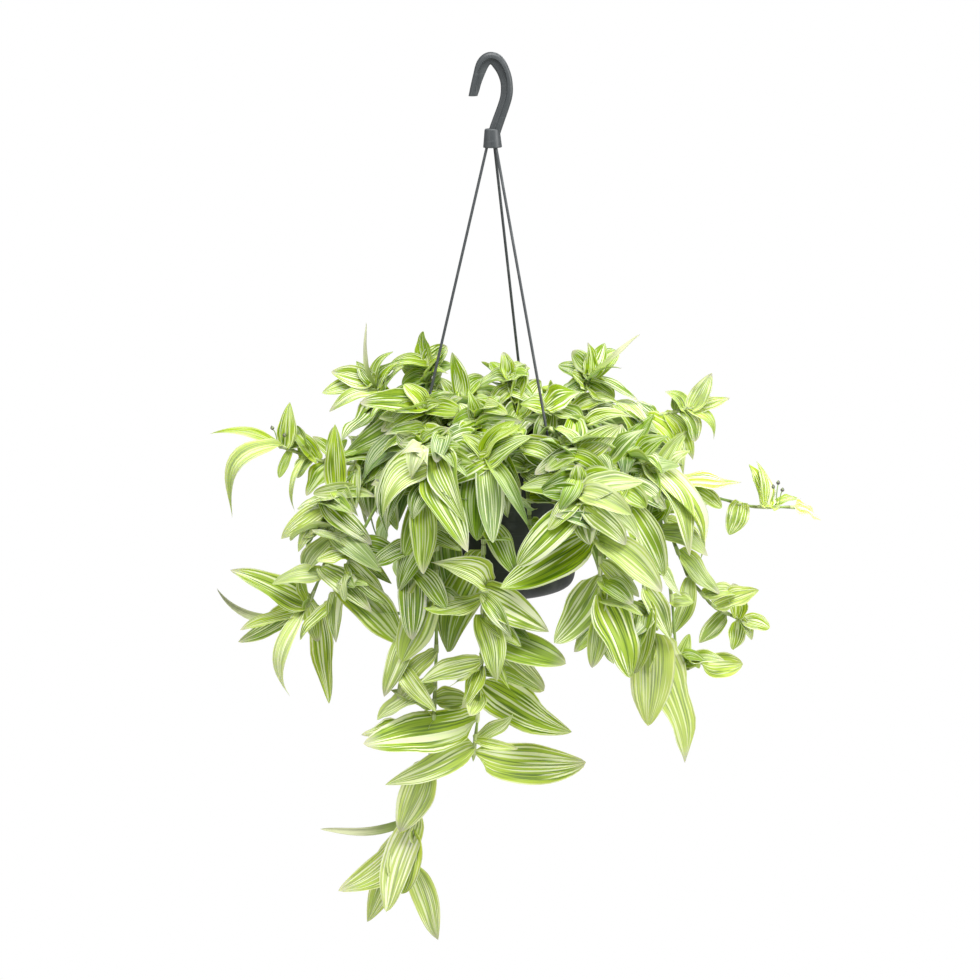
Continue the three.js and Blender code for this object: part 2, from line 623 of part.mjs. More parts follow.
// Every stem as its name, its seed, its points above the soil and its leaves
function plannedStems() {
  const stems = [];
  const add = (name, path, leaves, count) => {
    stems.push({ name: `stem_${name}`, seed: stems.length + 1, path, leaves, count });
  };
  for (const [name, { path, leaves }] of Object.entries(SEEN_STEMS)) {
    add(name, path.map((place) => seen(...place)), leaves, 0);
  }
  for (let i = 0; i < CROWN_STEMS.count; i += 1) {
    const { count, from, to, leaves } = CROWN_STEMS;
    const azimuth = from + ((to - from) * i) / (count - 1);
    add(`crown_${i + 1}`, standingPath(stems.length + 1, azimuth, CROWN_STEMS), [], leaves);
  }
  for (let i = 0; i < BACK_STEMS.count; i += 1) {
    const { count, from, to, leaves } = BACK_STEMS;
    const azimuth = from + ((to - from) * i) / (count - 1);
    add(`back_${i + 1}`, hangingPath(stems.length + 1, azimuth, BACK_STEMS), [], leaves);
  }
  SIDE_STEMS.azimuths.forEach((azimuth, i) => {
    const path = hangingPath(stems.length + 1, azimuth, SIDE_STEMS);
    add(`side_${i + 1}`, path, [], SIDE_STEMS.leaves);
  });
  return stems;
}

// The places in the soil, spread like the seeds of a sunflower
function rootPlaces() {
  const places = [];
  for (let i = 0; i < ROOT_PLACES; i += 1) {
    const radius = ROOT_SPREAD * Math.sqrt((i + 0.5) / ROOT_PLACES);
    places.push(outwards(i * GOLDEN_ANGLE, radius, SOIL_SURFACE + ROOT_RISE));
  }
  return places;
}

// Each stem in turn takes the free place nearest to where it goes
function plantRoots(stems) {
  const free = rootPlaces();
  for (const stem of stems) {
    const aim = stem.path[0].clone().setZ(SOIL_SURFACE + ROOT_RISE);
    const inside = Math.min(1, (0.8 * ROOT_SPREAD) / Math.hypot(aim.x, aim.y));
    aim.x *= inside;
    aim.y *= inside;
    const nearest = free.reduce((a, b) => (a.distanceTo(aim) <= b.distanceTo(aim) ? a : b));
    free.splice(free.indexOf(nearest), 1);
    stem.root = nearest;
  }
}

// The stem's points from the soil on, with one above the rim where it leaves the pot, and all but
// the first moved by a shift, mostly in depth
function shiftedPoints(stem, shift) {
  const points = [...stem.path];
  const first = stem.path[0];
  const leaves = Math.hypot(first.x, first.y) > POT_RADIUS;
  if (leaves) {
    const side = first.clone().setZ(0).normalize().multiplyScalar(POT_RADIUS);
    points.unshift(side.setZ(RIM_TOP + CROSSING_RISE + spread(stem.seed, 4, 0, 8)));
  }
  const way = new THREE.Vector3(spread(stem.seed, 5, -0.5, 0.5), 1, spread(stem.seed, 6, -0.2, 0.4));
  const moved = points.map((point) => point.clone().addScaledVector(way.normalize(), shift));
  return { points: [stem.root.clone(), ...moved], offset: leaves ? 2 : 1 };
}

// A smooth curve through points, at a place counted in points from the first
function along(points, at) {
  const last = points.length - 1;
  const start = Math.min(Math.max(Math.floor(at), 0), last - 1);
  const f = at - start;
  const a = start > 0 ? points[start - 1] : points[0].clone().addScaledVector(UP, -12);
  const b = points[start];
  const c = points[start + 1];
  const d = points[Math.min(start + 2, last)];
  const blend = (i, j, k, l) => 0.5 * (
    2 * j + (k - i) * f + (2 * i - 5 * j + 4 * k - l) * f * f + (3 * j - i - 3 * k + l) * f * f * f
  );
  return new THREE.Vector3(
    blend(a.x, b.x, c.x, d.x),
    blend(a.y, b.y, c.y, d.y),
    blend(a.z, b.z, c.z, d.z),
  );
}

function curveLength(points) {
  let length = 0;
  for (let i = 1; i < points.length; i += 1) {
    length += points[i].distanceTo(points[i - 1]);
  }
  return length;
}

// The bends of a stalk: straight runs along its curve
function stalkBends(points) {
  const steps = Math.max(4, Math.round(curveLength(points) / STEM_STEP));
  const bends = [];
  for (let i = 0; i <= steps; i += 1) {
    bends.push(along(points, ((points.length - 1) * i) / steps));
  }
  return bends;
}

// The place on a stalk's axis, counted in points of its curve
function onStalk(points, at) {
  const bends = stalkBends(points);
  const last = bends.length - 1;
  const place = Math.min(Math.max((at / (points.length - 1)) * last, 0), last - 0.001);
  const start = Math.floor(place);
  return bends[start].clone().lerp(bends[start + 1], place - start);
}

// A tapered stalk along a curve, from a flat end in the soil to a pointed tip
function stalk(points, extra) {
  const bends = stalkBends(points);
  const middles = [bends[0].clone().addScaledVector(UP, -ROOT_DEPTH - ROOT_RISE), ...bends];
  const end = bends[bends.length - 1];
  const heading = end.clone().sub(bends[bends.length - 2]).normalize();
  middles.push(end.clone().addScaledVector(heading, STEM_POINT));
  const vertices = [middles[0]];
  const faces = [];
  let side = new THREE.Vector3(1, 0, 0);
  const rings = middles.length - 1;
  for (let i = 0; i < rings; i += 1) {
    const run = middles[i + 1].clone().sub(middles[Math.max(i - 1, 0)]).normalize();
    side = side.clone().addScaledVector(run, -side.dot(run)).normalize();
    const across = run.clone().cross(side);
    const radius = STEM_RADIUS * (1 - (0.4 * i) / rings) + extra;
    for (let k = 0; k < STEM_SIDES; k += 1) {
      const angle = (2 * Math.PI * k) / STEM_SIDES;
      const rim = middles[i].clone().addScaledVector(side, radius * Math.cos(angle));
      vertices.push(rim.addScaledVector(across, radius * Math.sin(angle)));
      const here = 1 + i * STEM_SIDES + k;
      const beside = 1 + i * STEM_SIDES + ((k + 1) % STEM_SIDES);
      if (i === 0) {
        faces.push(0, beside, here);
      }
      if (i < rings - 1) {
        faces.push(here, beside, beside + STEM_SIDES, here, beside + STEM_SIDES, here + STEM_SIDES);
      } else {
        faces.push(here, beside, 1 + rings * STEM_SIDES);
      }
    }
  }
  vertices.push(middles[rings]);
  return solidOf(closedMesh(vertices, faces));
}

// Which way a leaf's upper side looks, before it is set square to the leaf: up, away from the pot's
// axis, and for the leaves that the photograph shows also towards its viewer
function upperSide(base, out, near) {
  const side = new THREE.Vector3(base.x, base.y, 0).normalize().multiplyScalar(out);
  return side.add(new THREE.Vector3(0, -near, 1));
}

// A leaf read from the photograph: the n-th try moves its tip in depth, not across the picture
function seenLeaf(stem, spot, index, turn) {
  const [at, across, down, nearer, width, arch] = spot;
  const before = stem.leaves.slice(0, index).filter((other) => Math.abs(other[0] - at) < 0.06).length;
  const base = onStalk(stem.points, at + stem.offset - LEAF_SPACING * before);
  const tip = seen(across, down, base.y + nearer + TIP_SHIFTS[turn]);
  const roll = spread(stem.seed * 64 + index, 7, -16, 16);
  return { base, tip, width, arch, roll, side: upperSide(base, 0.4, 0.9) };
}

// A leaf set by the rule: alternate, leaning along the stem, and swung about the upright at each try
function ruledLeaf(stem, index, turn) {
  const seed = stem.seed * 64 + index;
  const last = stem.points.length - 1;
  const start = stem.offset * 0.8;
  const at = start + ((last - start) * (index + 0.7)) / (stem.count - 0.3);
  const base = onStalk(stem.points, at);
  const run = base.clone().sub(along(stem.points, at - 0.05)).normalize();
  const side = upperSide(base, 0.7, 0);
  const beside = run.clone().cross(side).normalize();
  const sign = index % 2 === 0 ? 1 : -1;
  const isLast = index === stem.count - 1;
  const lean = isLast ? 0.15 : spread(seed, 1, 0.6, 0.9);
  const heading = run.multiplyScalar(spread(seed, 2, 0.35, 0.7));
  heading.addScaledVector(beside, sign * lean).addScaledVector(side, spread(seed, 3, 0.05, 0.4));
  heading.normalize().applyAxisAngle(UP, radians(TIP_SWINGS[turn]));
  const length = LEAF_LENGTH * spread(seed, 4, 0.72, 1.08) * (isLast ? 0.75 : 1);
  const tip = base.clone().addScaledVector(heading, length);
  tip.addScaledVector(UP, -length * spread(seed, 5, 0.05, 0.3));
  const width = spread(seed, 6, 0.85, 1.1);
  return { base, tip, width, arch: spread(seed, 8, 0.12, 0.35), roll: spread(seed, 7, -34, 34), side };
}

// The leaf's midrib: a cubic curve that rises from the stem and bends over to the tip
function midrib(leaf) {
  const chord = leaf.tip.clone().sub(leaf.base);
  const length = chord.length();
  const ahead = chord.clone().divideScalar(length);
  const rise = leaf.side.clone().addScaledVector(ahead, -leaf.side.dot(ahead)).normalize();
  const start = leaf.base.clone().addScaledVector(ahead, -0.6 * STEM_RADIUS);
  const lift = rise.clone().multiplyScalar(leaf.arch * length);
  const near = start.clone().addScaledVector(chord, 0.33).add(lift);
  const far = start.clone().addScaledVector(chord, 0.67).addScaledVector(lift, 0.85);
  return { curve: new THREE.CubicBezierCurve3(start, near, far, leaf.tip), length, rise };
}

// Half the blade's width as a share of its widest, from 0 at the stem to 0 at the tip
function bladeOutline(u) {
  return (u ** 0.55 * (1 - u) ** 0.68) / 0.4298;
}

// A thin keeled blade: at each station between its root and its tip a ring of its two edges and
// its keel, with the quads split alike on both halves
function blade(leaf, extra) {
  const { curve, length, rise } = midrib(leaf);
  const widest = 0.5 * LEAF_WIDTH_SHARE * Math.min(Math.max(length, 50), 80) * leaf.width;
  const stations = length * leaf.width < SMALL_BLADE ? SMALL_BLADE_STATIONS : BLADE_STATIONS;
  const vertices = [curve.getPoint(0)];
  const faces = [];
  stations.forEach((u, i) => {
    const run = curve.getTangent(u);
    const up = rise.clone().addScaledVector(run, -rise.dot(run)).normalize();
    up.applyAxisAngle(run, radians(leaf.roll));
    const across = run.clone().cross(up);
    const middle = curve.getPoint(u);
    const half = widest * bladeOutline(u) + extra;
    const keel = Math.max(KEEL_LEAST, KEEL_SHARE * half) + extra;
    vertices.push(
      middle.clone().addScaledVector(across, -half).addScaledVector(up, 0.5 * keel),
      middle.clone().addScaledVector(across, half).addScaledVector(up, 0.5 * keel),
      middle.clone().addScaledVector(up, -0.5 * keel),
    );
    const here = 1 + 3 * i;
    const next = here + 3;
    for (let k = 0; k < 3; k += 1) {
      const m = (k + 1) % 3;
      if (i === 0) {
        faces.push(0, here + m, here + k);
      }
      if (i === stations.length - 1) {
        faces.push(here + k, here + m, next);
      } else {
        faces.push(here + k, here + m, next + m, here + k, next + m, next + k);
      }
    }
  });
  vertices.push(leaf.tip.clone());
  return solidOf(closedMesh(vertices, faces));
}

// What stands already: every solid with its box and the node that it belongs to
const standing = [];

function stand(owner, solid) {
  standing.push({ owner, solid, box: boxOf(solid, BOX_MARGIN) });
}

function isClear(owner, fat) {
  const box = boxOf(fat, BOX_MARGIN);
  return standing.every((other) => (
    other.owner === owner || !other.box.intersectsBox(box) || !overlaps(other.solid, fat)
  ));
}

// The first shift of the stem that crosses nothing
function raiseStalk(stem) {
  for (const shift of STEM_SHIFTS) {
    const shifted = shiftedPoints(stem, shift);
    if (isClear(stem.name, stalk(shifted.points, CLEARANCE))) {
      Object.assign(stem, shifted);
      stem.solid = stalk(shifted.points, 0);
      stand(stem.name, stem.solid);
      return true;
    }
  }
  return false;
}

// The first try of a leaf that crosses no other stem's leaves, and best not its own stem's. A leaf
// that finds no room is left out.
function raiseLeaf(stem, tryLeaf, own) {
  let spare = null;
  for (let turn = 0; turn < TIP_SHIFTS.length; turn += 1) {
    const leaf = tryLeaf(turn);
    const fat = blade(leaf, CLEARANCE);
    if (isClear(stem.name, fat)) {
      const box = boxOf(fat, BOX_MARGIN);
      const crossed = own.filter((o) => o.box.intersectsBox(box)).map((o) => (
        o.solid.intersect(fat).volume()
      ));
      const shared = crossed.reduce((a, b) => a + b, 0);
      if (spare === null || shared < spare.shared) {
        spare = { leaf, shared };
      }
      if (shared < SHARED_LEAST) {
        break;
      }
    }
  }
  if (spare !== null) {
    const solid = blade(spare.leaf, 0);
    stand(stem.name, solid);
    own.push({ solid, box: boxOf(solid, BOX_MARGIN) });
    stem.solid = stem.solid.add(solid);
  }
}

function makeStems(stems) {
  plantRoots(stems);
  const raised = stems.filter((stem) => raiseStalk(stem));
  for (const stem of raised) {
    stem.own = [];
    stem.leaves.forEach((spot, index) => {
      raiseLeaf(stem, (turn) => seenLeaf(stem, spot, index, turn), stem.own);
    });
  }
  for (const stem of raised) {
    for (let index = 0; index < stem.count; index += 1) {
      raiseLeaf(stem, (turn) => ruledLeaf(stem, index, turn), stem.own);
    }
  }
  return raised;
}

// Assembly

const POT_PLASTIC = { color: 0x34383a, roughness: 0.5, metalness: 0 };
const HANGER_PLASTIC = { color: 0x3f4446, roughness: 0.45, metalness: 0 };
const SOIL = { color: 0x2b221b, roughness: 1, metalness: 0 };
const FOLIAGE = { color: 0x9cc43c, roughness: 0.5, metalness: 0 };

const group = new THREE.Group();
group.name = "potted_tradescantia";

function place(name, solid, finish) {
  const mesh = new THREE.Mesh(geometryOf(solid), new THREE.MeshStandardMaterial(finish));
  mesh.name = name;
  group.add(mesh);
}

const pot = makePot();
const hook = makeHook();
const strands = Object.entries(STRAND_AZIMUTHS).map(([name, azimuth]) => [
  `hanger_strand_${name}`, makeStrand(azimuth),
]);
let soil = makeSoilBody();
stand("pot", pot);
stand("hanger_hook", hook);
for (const [name, strand] of strands) {
  stand(name, strand);
}
const stems = makeStems(plannedStems());
for (const stem of stems) {
  soil = soil.subtract(stemHole(stem.root));
}

place("pot", pot, POT_PLASTIC);
place("soil", soundBody(soil), SOIL);
place("hanger_hook", hook, HANGER_PLASTIC);
for (const [name, strand] of strands) {
  place(name, strand, HANGER_PLASTIC);
}
for (const stem of stems) {
  place(stem.name, soundBody(stem.solid), FOLIAGE);
}

export default group;
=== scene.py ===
"""Looks of a potted tradescantia in a hanging pot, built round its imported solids.

Shapes are worked out in millimetres, +Z up, from the hang point inside the hook's crook, with X to
the right of the picture and Y away from its viewer. MM turns them into Blender's metres.
"""

import logging
import math
from dataclasses import dataclass, field
from enum import Enum
from typing import Callable, Iterable, Optional, Sequence, Union

import bpy
import numpy as np
from mathutils import Matrix


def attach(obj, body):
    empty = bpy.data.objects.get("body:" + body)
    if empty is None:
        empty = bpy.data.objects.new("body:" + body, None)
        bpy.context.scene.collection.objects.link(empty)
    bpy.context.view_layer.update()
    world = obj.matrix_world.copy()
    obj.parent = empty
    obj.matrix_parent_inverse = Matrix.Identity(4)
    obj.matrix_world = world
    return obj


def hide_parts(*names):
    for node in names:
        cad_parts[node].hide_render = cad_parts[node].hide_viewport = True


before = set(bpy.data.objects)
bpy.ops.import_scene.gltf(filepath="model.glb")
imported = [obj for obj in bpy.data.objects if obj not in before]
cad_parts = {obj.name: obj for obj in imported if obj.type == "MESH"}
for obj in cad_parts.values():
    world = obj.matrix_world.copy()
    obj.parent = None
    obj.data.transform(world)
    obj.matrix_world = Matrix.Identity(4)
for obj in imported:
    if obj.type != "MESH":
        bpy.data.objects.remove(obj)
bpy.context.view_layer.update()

MM = 0.001
UP = np.array([0.0, 0.0, 1.0])
GOLDEN_ANGLE = 137.508
log = logging.getLogger("tradescantia")


# Small sums on points and directions


def unit(vectors: np.ndarray) -> np.ndarray:
    """The same directions with length 1."""
    return vectors / np.maximum(np.linalg.norm(vectors, axis=-1, keepdims=True), 1e-12)


def dot(first: np.ndarray, second: np.ndarray) -> np.ndarray:
    """The dot product along the last axis, kept as a column."""
    return np.sum(first * second, axis=-1, keepdims=True)


def turned(vectors: np.ndarray, axes: np.ndarray, degrees: Union[float, np.ndarray]) -> np.ndarray:
    """Turns vectors about unit axes: v cos a + (axis x v) sin a + axis (axis . v)(1 - cos a).

    Args:
        vectors: Directions, the last axis being x, y, z.
        axes: Unit axes of the same shape.
        degrees: The angle, as one number or a column.

    Returns:
        The turned directions.
    """
    angle = np.radians(degrees)
    upright = axes * dot(axes, vectors) * (1 - np.cos(angle))
    return vectors * np.cos(angle) + np.cross(axes, vectors) * np.sin(angle) + upright


def chance(seed: int, index: int) -> float:
    """A repeatable draw between 0 and 1, as the solids were drawn.

    Args:
        seed: The leaf's or the stem's number.
        index: Which of its draws.

    Returns:
        The draw.
    """
    whole = 0xFFFFFFFF
    n = (seed * 374761393 + index * 668265263) & whole
    n = ((n ^ (n >> 13)) * 1274126177) & whole
    n ^= n >> 16
    return n / 4294967296


def spread(seed: int, index: int, low: float, high: float) -> float:
    """A repeatable draw between two numbers."""
    return low + (high - low) * chance(seed, index)


def smooth_step(low: float, high: float, values: np.ndarray) -> np.ndarray:
    """Rises from 0 at low to 1 at high as 3t^2 - 2t^3."""
    t = np.clip((values - low) / (high - low), 0, 1)
    return t * t * (3 - 2 * t)


def full_turn(sides: int) -> np.ndarray:
    """The angles of a circle's corners, in radians."""
    return np.linspace(0, 2 * np.pi, sides, endpoint=False)


def level_way(azimuth: float) -> np.ndarray:
    """The level direction at so many degrees from +X towards +Y."""
    angle = math.radians(azimuth)
    return np.array([math.cos(angle), math.sin(angle), 0.0])


def in_plan(point: np.ndarray) -> np.ndarray:
    """The point's place at height 0."""
    return point * np.array([1, 1, 0])


def smooth_curve(points: Sequence[np.ndarray], share: Union[float, np.ndarray]) -> np.ndarray:
    """The place on the smooth curve through four points, between the second and the third.

    It is half of 2b + (c - a) f + (2a - 5b + 4c - d) f^2 + (3b - a - 3c + d) f^3.

    Args:
        points: The points a, b, c and d, or arrays of them.
        share: How far from b to c, f, as one number or a column.

    Returns:
        The place or places.
    """
    a, b, c, d = points
    square = (2 * a - 5 * b + 4 * c - d) * share ** 2
    return 0.5 * (2 * b + (c - a) * share + square + (3 * b - a - 3 * c + d) * share ** 3)


def solid_outline(u: np.ndarray) -> np.ndarray:
    """Half the width of the solids' leaves as a share of its greatest: u^0.55 (1-u)^0.68 / 0.4298."""
    return u ** 0.55 * (1 - u) ** 0.68 / 0.4298


def standing(axes: Sequence[Sequence[float]], place: Sequence[float]) -> Matrix:
    """The matrix of an object that is turned and stands somewhere.

    Args:
        axes: Where its X, Y and Z look.
        place: Where it stands, in metres.

    Returns:
        The matrix.
    """
    matrix = Matrix(axes).transposed().to_4x4()
    matrix.translation = place
    return matrix


def add_object(name: str, data: bpy.types.ID) -> bpy.types.Object:
    """Puts a new object into the scene, at the origin.

    Args:
        name: Its name.
        data: What it shows.

    Returns:
        The object.
    """
    added = bpy.data.objects.new(name, data)
    bpy.context.scene.collection.objects.link(added)
    return added


# The view of the photograph


@dataclass(frozen=True)
class View:
    """Where the photograph was taken from: degrees, pixels of its 980 x 980 frame, and mm."""

    pitch: float = 12.5
    roll: float = 1.5
    focal: float = 2752.0
    middle: float = 490.0
    away: float = 2330.0
    hang_across: float = 490.5
    hang_down: float = 64.5
    image: float = 980.0
    film: float = 36.0

    def sight(self, across: float, down: float) -> np.ndarray:
        """The direction of the line of sight through a pixel.

        Args:
            across: Pixels from the left.
            down: Pixels from the top.

        Returns:
            The direction, not of unit length.
        """
        roll, pitch = math.radians(self.roll), math.radians(self.pitch)
        x, y = across - self.middle, down - self.middle
        right = (x * math.cos(roll) - y * math.sin(roll)) / self.focal
        drop = (x * math.sin(roll) + y * math.cos(roll)) / self.focal
        return np.array([
            right,
            math.cos(pitch) - drop * math.sin(pitch),
            -math.sin(pitch) - drop * math.cos(pitch),
        ])

    def eye(self) -> np.ndarray:
        """The viewer's eye, which sees the origin at the hook's pixel."""
        return self.sight(self.hang_across, self.hang_down) * -self.away

    def seen(self, across: float, down: float, depth: float) -> np.ndarray:
        """The place seen at a pixel, at a depth in mm behind the pot's axis."""
        line, eye = self.sight(across, down), self.eye()
        return eye + line * (depth - eye[1]) / line[1]

    def set_camera(self) -> None:
        """Puts the scene's camera at the eye, with the photograph's frame."""
        data = bpy.data.cameras.new("view_of_the_photograph")
        data.sensor_width = self.film
        data.lens = self.focal / self.image * self.film
        data.clip_end = 200
        roll, pitch = math.radians(self.roll), math.radians(self.pitch)
        right = (math.cos(roll), -math.sin(roll) * math.sin(pitch), -math.sin(roll) * math.cos(pitch))
        top = (math.sin(roll), math.cos(roll) * math.sin(pitch), math.cos(roll) * math.cos(pitch))
        back = (0, -math.cos(pitch), math.sin(pitch))
        camera = add_object("view_of_the_photograph", data)
        camera.matrix_world = standing((right, top, back), self.eye() * MM)
        bpy.context.scene.camera = camera


VIEW = View()


# Shader nodes


class Signal:
    """A number that varies over a surface: a socket whose operators add Math nodes."""

    def __init__(self, paint: "Paint", socket: bpy.types.NodeSocket) -> None:
        """Keeps the paint that the socket's node belongs to."""
        self.paint = paint
        self.socket = socket

    def __add__(self, other: "Number") -> "Signal":
        """The sum."""
        return self.paint.math("ADD", self, other)

    __radd__ = __add__

    def __sub__(self, other: "Number") -> "Signal":
        """The difference."""
        return self.paint.math("SUBTRACT", self, other)

    def __rsub__(self, other: "Number") -> "Signal":
        """The difference from a plain number."""
        return self.paint.math("SUBTRACT", other, self)

    def __mul__(self, other: "Number") -> "Signal":
        """The product."""
        return self.paint.math("MULTIPLY", self, other)

    __rmul__ = __mul__

    def __abs__(self) -> "Signal":
        """The distance from 0."""
        return self.paint.math("ABSOLUTE", self)

    def sine(self) -> "Signal":
        """The sine of an angle in radians."""
        return self.paint.math("SINE", self)

    def rise(self, low: float, high: float) -> "Signal":
        """A smooth step from 0 at low to 1 at high; with low above high it falls.

        Args:
            low: Where it is 0.
            high: Where it is 1.

        Returns:
            The step.
        """
        node = self.paint.node(
            "ShaderNodeMapRange",
            {"interpolation_type": "SMOOTHSTEP"},
            {"Value": self, "From Min": low, "From Max": high, "To Min": 0.0, "To Max": 1.0},
        )
        return Signal(self.paint, node.outputs["Result"])


Number = Union[Signal, float]
Colour = tuple[float, float, float]


def linear(red: int, green: int, blue: int) -> Colour:
    """A screen colour from 0 to 255 as the linear light that shaders work in.

    Args:
        red: Its red.
        green: Its green.
        blue: Its blue.

    Returns:
        The three shares, from 0 to 1.
    """
    def channel(value: int) -> float:
        share = value / 255
        return share / 12.92 if share <= 0.04045 else ((share + 0.055) / 1.055) ** 2.4
    return channel(red), channel(green), channel(blue)


class Paint:
    """A material under construction: its nodes, and the few ways in which they are joined."""

    # The Mix node's sockets for colours, by number: share, first, second and result
    MIX_SHARE, MIX_FIRST, MIX_SECOND, MIX_RESULT = 0, 6, 7, 2

    def __init__(self, name: str) -> None:
        """Starts an empty material.

        Args:
            name: Its name.
        """
        self.material = bpy.data.materials.new(name)
        self.material.use_nodes = True
        self.tree = self.material.node_tree
        self.tree.nodes.clear()

    def node(
        self, kind: str, settings: Optional[dict] = None, inputs: Optional[dict] = None,
    ) -> bpy.types.Node:
        """Adds a node.

        Args:
            kind: The node's type.
            settings: Its properties, set first.
            inputs: Values, signals or sockets for its inputs, by name or number.

        Returns:
            The node.
        """
        node = self.tree.nodes.new(kind)
        for name, value in (settings or {}).items():
            setattr(node, name, value)
        for name, value in (inputs or {}).items():
            source = value.socket if isinstance(value, Signal) else value
            if isinstance(source, bpy.types.NodeSocket):
                self.tree.links.new(source, node.inputs[name])
            elif len(np.shape(source)) and node.inputs[name].type == "RGBA":
                node.inputs[name].default_value = (*source, 1.0)
            else:
                node.inputs[name].default_value = source
        return node

    def math(self, operation: str, *values: Number) -> Signal:
        """One Math node on signals and numbers."""
        node = self.node("ShaderNodeMath", {"operation": operation}, dict(enumerate(values)))
        return Signal(self, node.outputs[0])

    def larger(self, first: Number, second: Number) -> Signal:
        """The larger of two values."""
        return self.math("MAXIMUM", first, second)

    def place(self) -> bpy.types.NodeSocket:
        """The place on the piece, in metres."""
        return self.node("ShaderNodeTexCoord").outputs["Object"]

    def map_of(self, name: str) -> tuple[Signal, Signal]:
        """The two numbers of one of the piece's own UV maps."""
        source = self.node("ShaderNodeUVMap", {"uv_map": name}).outputs["UV"]
        return self.parts(source)[:2]

    def parts(self, vector: bpy.types.NodeSocket) -> tuple[Signal, Signal, Signal]:
        """The x, y and z of a vector."""
        node = self.node("ShaderNodeSeparateXYZ", None, {"Vector": vector})
        return tuple(Signal(self, socket) for socket in node.outputs)

    def vector(self, x: Number, y: Number, z: Number) -> bpy.types.NodeSocket:
        """A vector from three values."""
        return self.node("ShaderNodeCombineXYZ", None, {"X": x, "Y": y, "Z": z}).outputs[0]

    def noise(self, vector: bpy.types.NodeSocket, scale: float, detail: float = 2.0,
              roughness: float = 0.5) -> Signal:
        """Smooth noise round 0.5 over a vector."""
        inputs = {"Vector": vector, "Scale": scale, "Detail": detail, "Roughness": roughness}
        return Signal(self, self.node("ShaderNodeTexNoise", None, inputs).outputs["Fac"])

    def mix(self, share: Number, first: "Tint", second: "Tint") -> bpy.types.NodeSocket:
        """A mix of two colours, by a share of the second.

        Args:
            share: The second colour's share, from 0 to 1.
            first: A colour or its socket.
            second: A colour or its socket.

        Returns:
            The mixed colour's socket.
        """
        inputs = {self.MIX_SHARE: share, self.MIX_FIRST: first, self.MIX_SECOND: second}
        return self.node("ShaderNodeMix", {"data_type": "RGBA"}, inputs).outputs[self.MIX_RESULT]

    def bump(self, height: Signal, strength: float, distance: float) -> bpy.types.NodeSocket:
        """A normal that shows a height; distance is in mm."""
        inputs = {"Height": height, "Strength": strength, "Distance": distance * MM}
        return self.node("ShaderNodeBump", None, inputs).outputs["Normal"]

    def shader(self, **inputs: object) -> bpy.types.Node:
        """The main shader, with its sockets named in words joined by underscores."""
        named = {name.replace("_", " "): value for name, value in inputs.items()}
        return self.node("ShaderNodeBsdfPrincipled", None, named)

    def finish(self, shader: bpy.types.Node) -> bpy.types.Material:
        """Joins the shader to the output and gives the material."""
        self.node("ShaderNodeOutputMaterial", None, {"Surface": shader.outputs[0]})
        return self.material


Tint = Union[Colour, bpy.types.NodeSocket]


# Finishes


